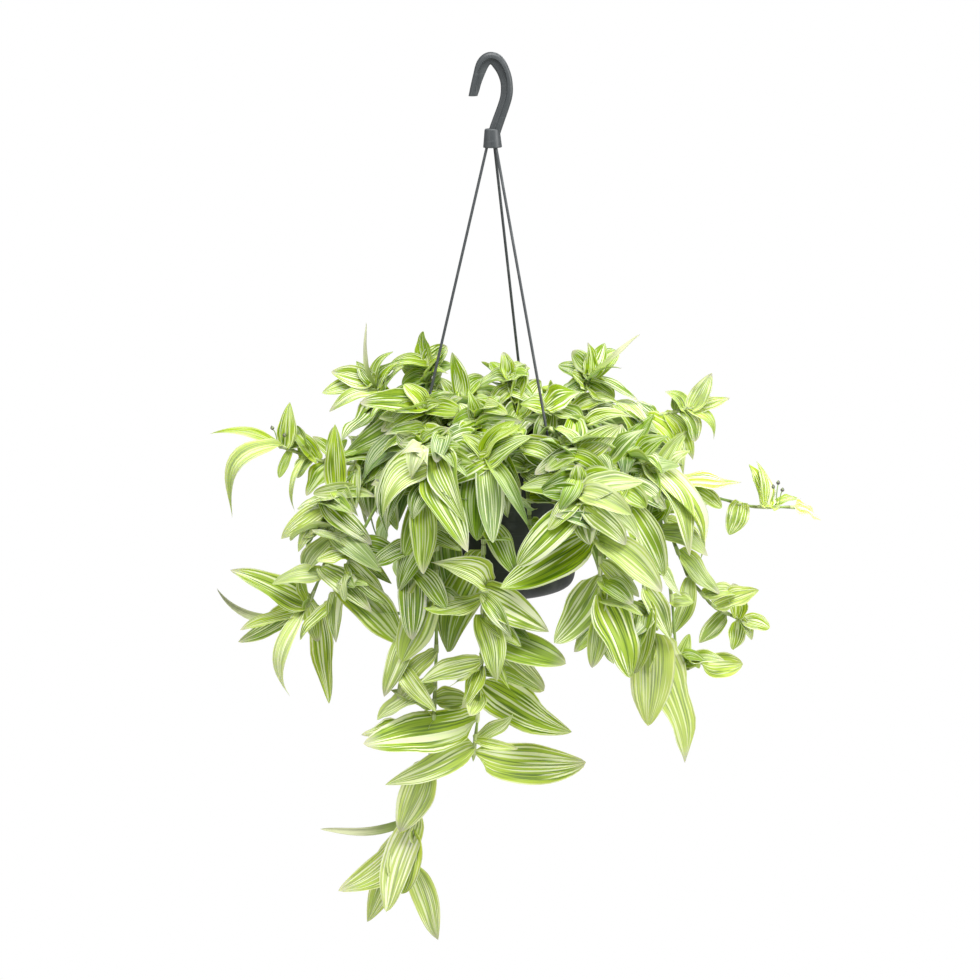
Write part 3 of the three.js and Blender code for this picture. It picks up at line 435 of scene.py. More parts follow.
@dataclass(frozen=True)
class StripedLeaf:
    """Blades with fine pale lines on yellow-green, a pale edge and a sage underside.

    The maps that it reads are blade (share along, share across), leaf (a draw for each leaf, and 1
    on the underside) and tone (paleness, partly painted light on outer and low leaves, and how
    yellow the leaf is at random, plus a painted backlight glow on outer, low and high leaves). The
    fields that end in draw are the rates at which own() makes further numbers out of a leaf's draw.
    """

    deep: Colour = linear(54, 92, 0)
    fresh: Colour = linear(120, 162, 0)
    yellow: Colour = linear(178, 206, 4)
    # glow is a painted backlight glow: the light that shines through outer, low and high leaves
    glow: Colour = linear(196, 216, 52)
    slate: Colour = linear(100, 130, 82)
    cream: Colour = linear(243, 249, 210)
    sage: Colour = linear(162, 190, 118)
    young: Colour = linear(250, 252, 212)
    withered: Colour = linear(184, 180, 160)
    lines: float = 8.0
    wide_stripes: float = 6.0
    stripe_turn: float = 6.2832
    lines_draw: float = 89.0
    depth_draw: float = 317.0
    slate_draw: float = 223.0
    lime_draw: float = 41.0
    bold_draw: float = 131.0
    dried_draw: float = 59.0

    def stripes(self, paint: Paint, along: Signal, across: Signal, draw: Signal) -> Signal:
        """Where the blade is pale: thin lines that follow the veins, rare wide ones, and the edge.

        A line is the crest of a sine across the blade whose phase drifts a little along it; noise
        widens it, thins it or lets it end.

        Args:
            paint: The material.
            along: The share of the way from stem to tip.
            across: The share of the way from one edge to the other.
            draw: The leaf's own number.

        Returns:
            A signal that is 1 on a stripe.
        """
        sway = paint.noise(paint.vector(along * 1.2, across * 1.5, draw * 37.0), 1.5, 0.0)
        count = self.own(draw, self.lines_draw) * 5.0 + self.lines
        phase = across * self.stripe_turn * count + sway * 9.0 + draw * 40.0
        strong_place = paint.vector(along * 1.6, across * self.lines, draw * 53.0 + 9.0)
        strength = paint.noise(strong_place, 1.3, 0.0)
        crest = (phase.sine() * 0.8 + strength * 4.2 - 2.1).rise(0.25, 0.85)
        wide_place = paint.vector(along * 0.4, across * self.wide_stripes, draw * 71.0)
        wide = paint.noise(wide_place, 1.6, 0.0).rise(0.66, 0.73)
        edge = abs(across * 2.0 - 1.0).rise(0.92, 0.98) * 0.7
        return paint.larger(paint.larger(wide, crest), edge)

    def own(self, draw: Signal, rate: float) -> Signal:
        """A further draw for each leaf, from 0 to 1: a fast sine of its number."""
        return (draw * rate).sine() * 0.5 + 0.5

    def material(self) -> bpy.types.Material:
        """Mixes the finish.

        Returns:
            The material.
        """
        paint = Paint("striped_leaf")
        along, across = paint.map_of("blade")
        draw, under = paint.map_of("leaf")
        pale, golden_and_painted_backlight = paint.map_of("tone")
        stripes = self.stripes(paint, along, across, draw)
        drift = paint.noise(paint.vector(along * 1.4, across * 3.0, draw * 31.0), 1.2, 2.0)
        # Part of depth is painted light and shade: leaves with the painted backlight lean to the fresh
        # green, so inner leaves are painted darker
        depth = drift.rise(0.3, 0.7) * 0.5 + self.own(draw, self.depth_draw) * 0.2 + golden_and_painted_backlight * 0.3
        green = paint.mix(depth, self.deep, self.fresh)
        green = paint.mix(self.own(draw, self.slate_draw).rise(0.7, 0.95) * 0.8, green, self.slate)
        lime = along.rise(0.55, 0.0) * 0.6 + self.own(draw, self.lime_draw).rise(0.5, 1.0) * 0.3
        green = paint.mix(lime, green, self.yellow)
        # Painted backlight glow: outer, low and high leaves are mixed towards the glow colour
        green = paint.mix(golden_and_painted_backlight * 0.7, green, self.glow)
        veins = (across * 150.0).sine() * 0.5 + 0.5
        furrow = paint.noise(paint.vector(along * 1.1, across * 14.0, draw * 83.0), 1.5, 1.0)
        green = paint.mix(veins * 0.15 + furrow.rise(0.48, 0.64) * 0.7, green, self.deep)
        # Stripes show bolder on leaves with the painted backlight glow: partly painted light
        bold = self.own(draw, self.bold_draw) * 0.4 + golden_and_painted_backlight * 0.2 + 0.3
        upper = paint.mix(stripes * bold, green, self.cream)
        # The underside takes the painted backlight glow too
        lower = paint.mix(golden_and_painted_backlight * 0.5, paint.mix(veins * 0.3, self.sage, self.slate), self.glow)
        lower = paint.mix(stripes * 0.4, lower, self.cream)
        colour = paint.mix(under, upper, lower)
        # pale is the real paleness of young leaves, and painted light on outer and low leaves
        colour = paint.mix(pale, colour, self.young)
        dried = along.rise(0.8, 1.0) * self.own(draw, self.dried_draw).rise(0.4, 0.9)
        colour = paint.mix(dried * 0.8, colour, self.withered)
        height = veins * 0.6 + drift * 2.0 - stripes * 0.4
        shader = paint.shader(
            Base_Color=colour,
            Roughness=0.38 + drift * 0.14 + under * 0.16,
            Normal=paint.bump(height, 0.35, 0.25),
            Specular_IOR_Level=0.22,
            Subsurface_Weight=0.3,
            Subsurface_Radius=(0.8, 1.0, 0.1),
            Subsurface_Scale=1.2 * MM,
        )
        return paint.finish(shader)


@dataclass(frozen=True)
class StemSkin:
    """Juicy green stalks with long streaks, and a brownish flush near the joints.

    Its blade map holds the distance along in tenths of a metre and the share of the way round, and
    its leaf map how near a joint lies and a draw for each stem.
    """

    green: Colour = linear(128, 158, 70)
    light: Colour = linear(176, 198, 118)
    flush: Colour = linear(104, 92, 62)

    def material(self) -> bpy.types.Material:
        """Mixes the finish.

        Returns:
            The material.
        """
        paint = Paint("stem_skin")
        along, around = paint.map_of("blade")
        joint, draw = paint.map_of("leaf")
        streaks = paint.noise(paint.vector(along * 2.0, around * 6.0, draw * 17.0), 2.0, 2.0)
        patches = paint.noise(paint.vector(along * 5.0, around, draw * 29.0), 1.0, 2.0)
        colour = paint.mix(streaks.rise(0.4, 0.66), self.green, self.light)
        colour = paint.mix(joint * 0.55 + patches.rise(0.5, 0.75) * 0.35, colour, self.flush)
        shader = paint.shader(
            Base_Color=colour,
            Roughness=0.4 + streaks * 0.15,
            Normal=paint.bump(streaks, 0.3, 0.3),
            Subsurface_Weight=0.15,
            Subsurface_Radius=(0.8, 1.0, 0.4),
            Subsurface_Scale=1.0 * MM,
        )
        return paint.finish(shader)


@dataclass(frozen=True)
class DryLeaf:
    """A withered leaf: straw and grey-brown, wrinkled lengthways, a little green at its foot."""

    straw: Colour = linear(206, 210, 168)
    brown: Colour = linear(156, 160, 126)
    green: Colour = linear(158, 178, 96)

    def material(self) -> bpy.types.Material:
        """Mixes the finish.

        Returns:
            The material.
        """
        paint = Paint("dry_leaf")
        along, across = paint.map_of("blade")
        draw, _ = paint.map_of("leaf")
        folds = paint.noise(paint.vector(along * 1.5, across * 9.0, draw * 41.0), 1.4, 3.0)
        colour = paint.mix(folds.rise(0.35, 0.65), self.brown, self.straw)
        colour = paint.mix(along.rise(0.65, 0.2), colour, self.green)
        shader = paint.shader(
            Base_Color=colour, Roughness=0.7 + folds * 0.2, Normal=paint.bump(folds, 0.6, 0.5),
        )
        return paint.finish(shader)


@dataclass(frozen=True)
class FlowerBud:
    """Small closed buds: dull purple-grey with green patches."""

    dark: Colour = linear(84, 76, 84)
    green: Colour = linear(150, 166, 110)

    def material(self) -> bpy.types.Material:
        """Mixes the finish.

        Returns:
            The material.
        """
        paint = Paint("flower_bud")
        mottle = paint.noise(paint.place(), 900.0, 2.0)
        colour = paint.mix(mottle.rise(0.45, 0.65), self.dark, self.green)
        shader = paint.shader(
            Base_Color=colour, Roughness=0.55 + mottle * 0.1, Normal=paint.bump(mottle, 0.3, 0.2),
        )
        return paint.finish(shader)


@dataclass(frozen=True)
class MouldedPlastic:
    """Dull moulded plastic: a fine grain, faint clouds of dust and rubbed scratches.

    grain and cloud are how many repeats there are to a metre.
    """

    name: str
    body: Colour
    dust: Colour
    gloss: float
    grain: float = 2600.0
    cloud: float = 60.0
    dusty: float = 0.25

    def material(self) -> bpy.types.Material:
        """Mixes the finish.

        Returns:
            The material.
        """
        paint = Paint(self.name)
        place = paint.place()
        x, y, z = paint.parts(place)
        grain = paint.noise(place, self.grain, 2.0, 0.6)
        cloud = paint.noise(place, self.cloud, 3.0, 0.6)
        rubs = paint.noise(paint.vector(x * 0.4, y * 0.4, z * 9.0), 130.0, 2.0).rise(0.6, 0.72)
        colour = paint.mix(cloud.rise(0.48, 0.78) * self.dusty, self.body, self.dust)
        colour = paint.mix(rubs * 0.18, colour, self.dust)
        shader = paint.shader(
            Base_Color=colour,
            Roughness=self.gloss + cloud * 0.16 + rubs * 0.08,
            Normal=paint.bump(grain + rubs * 0.6, 0.12, 0.15),
        )
        return paint.finish(shader)


@dataclass(frozen=True)
class PottingSoil:
    """Peaty soil: dark crumbs with lighter fibres and damp, darker hollows."""

    dark: Colour = linear(38, 29, 22)
    light: Colour = linear(96, 76, 56)
    fibre: Colour = linear(134, 112, 82)

    def material(self) -> bpy.types.Material:
        """Mixes the finish.

        Returns:
            The material.
        """
        paint = Paint("potting_soil")
        place = paint.place()
        crumbs = paint.noise(place, 420.0, 5.0, 0.7)
        damp = paint.noise(place, 45.0, 2.0)
        fibres = paint.noise(place, 1500.0, 1.0).rise(0.66, 0.74)
        colour = paint.mix(crumbs.rise(0.38, 0.72), self.dark, self.light)
        colour = paint.mix(damp.rise(0.5, 0.7) * 0.6, colour, self.dark)
        colour = paint.mix(fibres * 0.6, colour, self.fibre)
        shader = paint.shader(
            Base_Color=colour, Roughness=0.86 + crumbs * 0.12, Normal=paint.bump(crumbs, 0.9, 2.0),
        )
        return paint.finish(shader)


@dataclass(frozen=True)
class StudioWhite:
    """The pale floor under the object."""

    white: Colour = (0.93, 0.93, 0.93)

    def material(self) -> bpy.types.Material:
        """Mixes the finish.

        Returns:
            The material.
        """
        paint = Paint("studio_floor")
        cloud = paint.noise(paint.place(), 0.6, 2.0)
        colour = paint.mix(cloud * 0.04, self.white, (0.9, 0.9, 0.9))
        return paint.finish(paint.shader(Base_Color=colour, Roughness=0.9 + cloud * 0.05))


class Finish(Enum):
    """Which finish a part of a piece takes."""

    LEAF = "leaf"
    STALK = "stalk"
    DRY = "dry"
    BUD = "bud"
    POT = "pot"
    HANGER = "hanger"
    SOIL = "soil"


@dataclass
class Palette:
    """Every finish's material, made once."""

    materials: dict[Finish, bpy.types.Material] = field(default_factory=dict)

    def mix_all(self) -> None:
        """Makes the materials."""
        pot = MouldedPlastic("pot_plastic", linear(34, 38, 40), linear(112, 116, 114), 0.42)
        hanger = MouldedPlastic("hanger_plastic", linear(56, 60, 62), linear(116, 120, 121), 0.4)
        makers = {
            Finish.LEAF: StripedLeaf(),
            Finish.STALK: StemSkin(),
            Finish.DRY: DryLeaf(),
            Finish.BUD: FlowerBud(),
            Finish.POT: pot,
            Finish.HANGER: hanger,
            Finish.SOIL: PottingSoil(),
        }
        self.materials = {finish: maker.material() for finish, maker in makers.items()}


PALETTE = Palette()


# Meshes from grids


MAP_NAMES = ("blade", "leaf", "tone")


@dataclass
class Shell:
    """One closed skin: points in mm, faces, and what its maps hold at each face's corners."""

    points: np.ndarray
    faces: list[list[int]]
    finish: Finish
    maps: dict[str, np.ndarray] = field(default_factory=dict)


def closed_grid(
    rings: np.ndarray, finish: Finish, ends: Optional[np.ndarray] = None,
    maps: Optional[dict[str, "Sides"]] = None, paired: bool = False,
) -> Shell:
    """A skin of rings joined by strips, closed at both ends.

    Going round a ring is the run of the rings crossed with outwards, so that faces look out.

    Args:
        rings: Points, as rings x corners x 3.
        finish: What it is made of.
        ends: The two points that close it by fans. Without them each end is one flat face.
        maps: Each map's values on the left and on the right of every strip, both of them as
            (rings + 2) x corners x 2, with a row for each end.
        paired: Whether the second half of each ring is the underside of the first, so that its
            faces split along the same diagonals and the two never cross.

    Returns:
        The closed skin.
    """
    count, corners = rings.shape[:2]
    here = np.arange(count * corners).reshape(count, corners)
    beside = np.roll(here, -1, axis=1)
    quads = np.stack([here[:-1], beside[:-1], beside[1:], here[1:]], axis=-1)
    if paired:
        quads[:, corners // 2:] = np.roll(quads[:, corners // 2:], -1, axis=-1)
    quads = quads.reshape(-1, 4)
    if ends is None:
        caps = [here[0, ::-1].tolist(), here[-1].tolist()]
        return Shell(rings.reshape(-1, 3), quads.tolist() + caps, finish)
    first, last = count * corners, count * corners + 1
    start = np.stack([np.full(corners, first), beside[0], here[0]], axis=-1)
    end = np.stack([here[-1], beside[-1], np.full(corners, last)], axis=-1)
    values = {}
    for name, (left, right) in (maps or {}).items():
        strips = np.stack([left[1:-2], right[1:-2], right[2:-1], left[2:-1]], axis=2)
        if paired:
            strips[:, corners // 2:] = np.roll(strips[:, corners // 2:], -1, axis=2)
        fan = np.stack([0.5 * (left[0] + right[0]), right[1], left[1]], axis=1)
        tail = np.stack([left[-2], right[-2], 0.5 * (left[-1] + right[-1])], axis=1)
        values[name] = np.concatenate([part.reshape(-1, 2) for part in (strips, fan, tail)])
    points = np.concatenate([rings.reshape(-1, 3), ends])
    return Shell(points, quads.tolist() + start.tolist() + end.tolist(), finish, values)


Sides = tuple[np.ndarray, np.ndarray]


def both_sides(first: np.ndarray, second: np.ndarray) -> Sides:
    """A map's values at the edges of strips: each strip takes its own two.

    Args:
        first: The map's first number at every edge, as (rings + 2) x (corners + 1).
        second: Its second number, likewise.

    Returns:
        The values on the left and on the right of the strips.
    """
    grid = np.stack(np.broadcast_arrays(first, second), axis=-1).astype(float)
    return grid[:, :-1], grid[:, 1:]


def ring_frames(middles: np.ndarray) -> tuple[np.ndarray, np.ndarray]:
    """Two directions square to a line at each of its points, carried along without twist.

    Args:
        middles: The line's points.

    Returns:
        The first directions, and the second ones, which are the run crossed with the first.
    """
    before = np.concatenate([middles[:1], middles[:-1]])
    after = np.concatenate([middles[1:], middles[-1:]])
    runs = unit(after - before)
    sides = np.zeros_like(runs)
    side = np.array([1.0, 0.0, 0.0]) if abs(runs[0][0]) < 0.9 else np.array([0.0, 1.0, 0.0])
    for i, run in enumerate(runs):
        side = unit(side - run * np.dot(side, run))
        sides[i] = side
    return sides, np.cross(runs, sides)


def tube(
    middles: np.ndarray, radii: np.ndarray, corners: int, finish: Finish,
    maps: Optional[dict[str, Sides]] = None,
) -> Shell:
    """A round bar along a line: middle + radius (cos a side + sin a across) for a full turn of a.

    Args:
        middles: The line's points.
        radii: Its radius at each point.
        corners: How many flats it has.
        finish: What it is made of.
        maps: What the maps hold, as in closed_grid.

    Returns:
        The closed bar.
    """
    sides, across = ring_frames(middles)
    angle = full_turn(corners)[None, :, None]
    around = np.cos(angle) * sides[:, None] + np.sin(angle) * across[:, None]
    rings = middles[:, None] + np.asarray(radii)[:, None, None] * around
    return closed_grid(rings, finish, middles[[0, -1]], maps)


def lathe(profile: np.ndarray, sides: int, finish: Finish) -> Shell:
    """A profile of radius and height turned about Z; it starts and ends on the axis.

    Args:
        profile: Rows of radius and height, up the outside and down the inside.
        sides: How many steps a turn has.
        finish: What it is made of.

    Returns:
        The closed turned body.
    """
    angle = full_turn(sides)
    radius, height = profile[1:-1, 0], profile[1:-1, 1]
    rings = np.stack([
        radius[:, None] * np.cos(angle),
        radius[:, None] * np.sin(angle),
        np.repeat(height[:, None], sides, axis=1),
    ], axis=-1)
    ends = np.array([[0, 0, profile[0, 1]], [0, 0, profile[-1, 1]]])
    return closed_grid(rings, finish, ends)


def rounded(corners: np.ndarray, radii: np.ndarray, steps: int = 4) -> np.ndarray:
    """A path with its corners rounded: each turns into a curve that starts and ends on its sides.

    The curve is (1-t)^2 before + 2t(1-t) corner + t^2 after.

    Args:
        corners: The path's points in a plane.
        radii: How far from each corner its curve begins, with 0 for a sharp one.
        steps: The curve's pieces.

    Returns:
        The rounded path's points.
    """
    t = np.linspace(0, 1, steps + 1)[:, None]
    path = []
    for i, corner in enumerate(corners):
        if radii[i] <= 0 or i in (0, len(corners) - 1):
            path.append(corner[None])
            continue
        before, after = corners[i - 1] - corner, corners[i + 1] - corner
        start = corner + before * min(0.48, radii[i] / np.linalg.norm(before))
        end = corner + after * min(0.48, radii[i] / np.linalg.norm(after))
        path.append((1 - t) ** 2 * start + 2 * t * (1 - t) * corner + t * t * end)
    return np.concatenate(path)


def make_piece(name: str, shells: Sequence[Shell], sharp: float = 50.0) -> bpy.types.Object:
    """One object from closed skins, smooth but for edges sharper than an angle.

    Args:
        name: The object's name.
        shells: Its skins.
        sharp: The angle in degrees.

    Returns:
        The object, at the origin.
    """
    points, faces, slots = [], [], []
    finishes = sorted({shell.finish for shell in shells}, key=lambda finish: finish.value)
    start = 0
    for shell in shells:
        points.append(shell.points)
        faces.extend([[start + corner for corner in face] for face in shell.faces])
        slots.extend([finishes.index(shell.finish)] * len(shell.faces))
        start += len(shell.points)
    mesh = bpy.data.meshes.new(name)
    mesh.from_pydata((np.concatenate(points) * MM).tolist(), [], faces)
    for finish in finishes:
        mesh.materials.append(PALETTE.materials[finish])
    mesh.polygons.foreach_set("material_index", slots)
    for map_name in MAP_NAMES:
        if any(map_name in shell.maps for shell in shells):
            values = [
                shell.maps.get(map_name, np.zeros((sum(map(len, shell.faces)), 2)))
                for shell in shells
            ]
            layer = mesh.uv_layers.new(name=map_name)
            layer.data.foreach_set("uv", np.concatenate(values).astype(np.float32).ravel())
    mesh.shade_smooth()
    mesh.set_sharp_from_angle(angle=math.radians(sharp))
    return add_object(name, mesh)


def hand_over(piece: bpy.types.Object, slot: str, *nodes: str) -> None:
    """Lets a piece ride on the body and stand for its nodes, whose solids it hides.

    Args:
        piece: The piece.
        slot: Not used.
        nodes: The solids it stands for.
    """
    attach(piece, "root")
    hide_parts(*nodes)
    log.info("%s: %d faces", piece.name, len(piece.data.polygons))


# Pot


@dataclass
class Pot:
    """The plastic pot: a tapered wall with a banded, ribbed rim and a raised, drained floor."""

    rim_top: float = -321.0
    radius: float = 75.0
    height: float = 134.0
    rim_band: float = 20.0
    band_step: float = 3.2
    wall: float = 2.0
    bottom_radius: float = 62.0
    foot_rise: float = 3.0
    bend: float = 8.0
    sides: int = 96
    ribs: int = 16
    rib_depth: float = 2.2
    rib_width: float = 1.4
    rib_sink: float = 0.5
    rib_short: float = 6.0
    rib_sides: int = 10
    saddle_gap: float = 6.0
    drains: int = 5
    drain_radius: float = 4.5
    drain_circle: float = 34.0
    plug_ends: tuple[float, float] = (-3.0, 9.0)
    plug_sides: int = 24
    sharp: float = 40.0

    def profile(self) -> np.ndarray:
        """The wall's outline from the axis below, up outside, over the rim and down inside.

        Returns:
            Rows of radius and height.
        """
        base = self.rim_top - self.height
        floor = base + self.foot_rise
        shoulder = self.rim_top - self.rim_band
        bend = self.bend
        corners = np.array([
            [0, floor],
            [self.bottom_radius - bend - 7, floor],
            [self.bottom_radius - bend - 4, base],
            [self.bottom_radius - bend, base],
            [self.bottom_radius - 2, base + 2],
            [self.bottom_radius + 1, base + bend],
            [self.radius - self.band_step, shoulder],
            [self.radius, shoulder],
            [self.radius, self.rim_top],
            [self.radius - self.wall, self.rim_top],
            [self.radius - self.wall, shoulder + 2],
            [self.radius - self.band_step - self.wall, shoulder - 1],
            [self.bottom_radius - 1.5, base + bend + 1.5],
            [self.bottom_radius - bend, floor + self.wall],
            [0, floor + self.wall],
        ], dtype=float)
        rounding = np.array([0, 1.2, 1.2, 1.4, 3, 4, 0.8, 0.7, 0.8, 0.8, 1, 1, 4, 2, 0])
        return rounded(corners, rounding)

    def rib(self, azimuth: float) -> Shell:
        """One upright rib on the rim's band: an oval bar, half sunk, that thins at both ends.

        Args:
            azimuth: Degrees from +X towards +Y.

        Returns:
            The closed rib.
        """
        out = level_way(azimuth)
        beside = np.cross(UP, out)
        tall = self.rim_band - self.rib_short
        up = np.linspace(-0.5, 0.5, 9)
        swell = np.clip(1 - np.abs(2 * up) ** 8, 0.05, 1)
        turn = full_turn(self.rib_sides)
        middles = out * (self.radius - self.rib_sink) + UP * (self.rim_top - self.rim_band / 2)
        depth = 0.5 * self.rib_depth * swell[:, None, None] * np.cos(turn)[None, :, None] * out
        width = 0.5 * self.rib_width * swell[:, None, None] * np.sin(turn)[None, :, None] * beside
        rings = middles + UP * (up * tall)[:, None, None] + depth + width
        return closed_grid(rings, Finish.POT)

    def drained(self, piece: bpy.types.Object) -> None:
        """Cuts the round drain holes through the floor with a joined set of plugs.

        Args:
            piece: The pot's piece.
        """
        base = self.rim_top - self.height
        plugs = []
        for angle in np.arange(self.drains) * 2 * np.pi / self.drains:
            middle = self.drain_circle * np.array([math.cos(angle), math.sin(angle), 0])
            ends = middle + UP * (base + np.array(self.plug_ends))[:, None]
            plugs.append(tube(ends, np.full(2, self.drain_radius), self.plug_sides, Finish.POT))
        cutter = make_piece("drain_plugs", plugs)
        cut = piece.modifiers.new("drains", "BOOLEAN")
        cut.operation = "DIFFERENCE"
        cut.solver = "EXACT"
        cut.object = cutter
        graph = bpy.context.evaluated_depsgraph_get()
        done = bpy.data.meshes.new_from_object(piece.evaluated_get(graph))
        piece.modifiers.remove(cut)
        piece.data = done
        bpy.data.objects.remove(cutter)
        done.set_sharp_from_angle(angle=math.radians(self.sharp))

    def build(self, saddles: Iterable[float]) -> None:
        """Makes the pot.

        Args:
            saddles: The azimuths of the hanger's saddles, where ribs are left out.
        """
        shells = [lathe(self.profile(), self.sides, Finish.POT)]
        piece = make_piece("pot_moulding", shells, self.sharp)
        self.drained(piece)
        hand_over(piece, "pot_plastic", "pot")
        ribs = []
        for i in range(self.ribs):
            azimuth = (i + 0.5) * 360 / self.ribs
            apart = [abs((azimuth + saddle + 540) % 360 - 180) for saddle in saddles]
            if min(apart) > self.saddle_gap:
                ribs.append(self.rib(azimuth))
        rim = make_piece("pot_rim_ribs", ribs)
        hand_over(rim, "pot_plastic")


# Soil


@dataclass
class Soil:
    """The potting soil: a lumpy bed with crumbs on it."""

    pot: Pot
    drop: float = 12.0
    fit: float = 0.35
    play: float = 0.6
    sides: int = 72
    crumbs: int = 620
    crumb_seed: int = 7
    sharp: float = 35.0

    def surface(self) -> float:
        """The height of the bed."""
        return self.pot.rim_top - self.drop

    def radius(self) -> float:
        """The radius of the bed, just inside the wall."""
        return self.pot.radius - self.pot.band_step - self.pot.wall - self.play

    def height(self, x: np.ndarray, y: np.ndarray) -> np.ndarray:
        """Lumps: sines that cross, as in the solid, with finer ones on top.

        Args:
            x: Places across.
            y: Places in depth.

        Returns:
            The heights there.
        """
        lumps = np.sin(x * 0.21 + 1) * np.cos(y * 0.17) + 0.6 * np.sin(x * 0.43 - y * 0.37)
        fine = np.sin(x * 1.3 + 2 * np.sin(y * 0.7)) * np.sin(y * 1.1 + 1.7 * np.sin(x * 0.9))
        return self.surface() + 0.9 * lumps + 0.45 * fine

    def bed(self) -> Shell:
        """The body of soil, turned about Z and then given its lumps on top.

        Returns:
            The closed bed.
        """
        base = self.pot.rim_top - self.pot.height + self.pot.foot_rise + self.pot.wall + self.fit
        top = self.surface()
        rings = np.linspace(self.radius() - 2.5, 3, 26)
        profile = np.concatenate([
            np.array([
                [0, base],
                [self.pot.bottom_radius - 9.5, base],
                [self.pot.bottom_radius - 3, base + 6],
                [self.radius() - 1, self.pot.rim_top - self.pot.rim_band - 2],
                [self.radius() - 0.5, top - 3],
            ]),
            np.stack([rings, np.full_like(rings, top)], axis=-1),
            np.array([[0, top]]),
        ])
        shell = lathe(profile, self.sides, Finish.SOIL)
        high = shell.points[:, 2] > top - 0.5
        shell.points[high, 2] = self.height(shell.points[high, 0], shell.points[high, 1])
        return shell

    def crumb_shells(self) -> Shell:
        """Stretched eight-faced lumps, spread like a sunflower's seeds and turned at random.

        Returns:
            All the crumbs.
        """
        rng = np.random.default_rng(self.crumb_seed)
        count = self.crumbs
        index = np.arange(count)
        radius = (self.radius() - 3) * np.sqrt((index + 0.5) / count)
        angle = np.radians(index * GOLDEN_ANGLE) + rng.uniform(-0.3, 0.3, count)
        x, y = radius * np.cos(angle), radius * np.sin(angle)
        middles = np.stack([x, y, self.height(x, y) + 0.3], axis=-1)
        body = np.array([
            [1, 0, 0], [0, 1, 0], [-1, 0, 0], [0, -1, 0], [0, 0, 1], [0, 0, -1],
        ], dtype=float)
        sizes = rng.uniform(0.7, 1.9, (count, 1, 1)) * rng.uniform(0.6, 1.3, (count, 1, 3))
        axes = unit(rng.normal(size=(count, 1, 3)))
        angles = rng.uniform(0, 360, (count, 1, 1))
        points = body * sizes
        points = turned(points, np.broadcast_to(axes, points.shape), angles) + middles[:, None]
        pattern = np.array([
            [0, 1, 4], [1, 2, 4], [2, 3, 4], [3, 0, 4], [1, 0, 5], [2, 1, 5], [3, 2, 5], [0, 3, 5],
        ])
        faces = (index[:, None, None] * 6 + pattern).reshape(-1, 3)
        return Shell(points.reshape(-1, 3), faces.tolist(), Finish.SOIL)

    def build(self) -> None:
        """Makes the bed with its crumbs."""
        piece = make_piece("soil_bed", [self.bed(), self.crumb_shells()], self.sharp)
        hand_over(piece, "potting_soil", "soil")


# Hanger


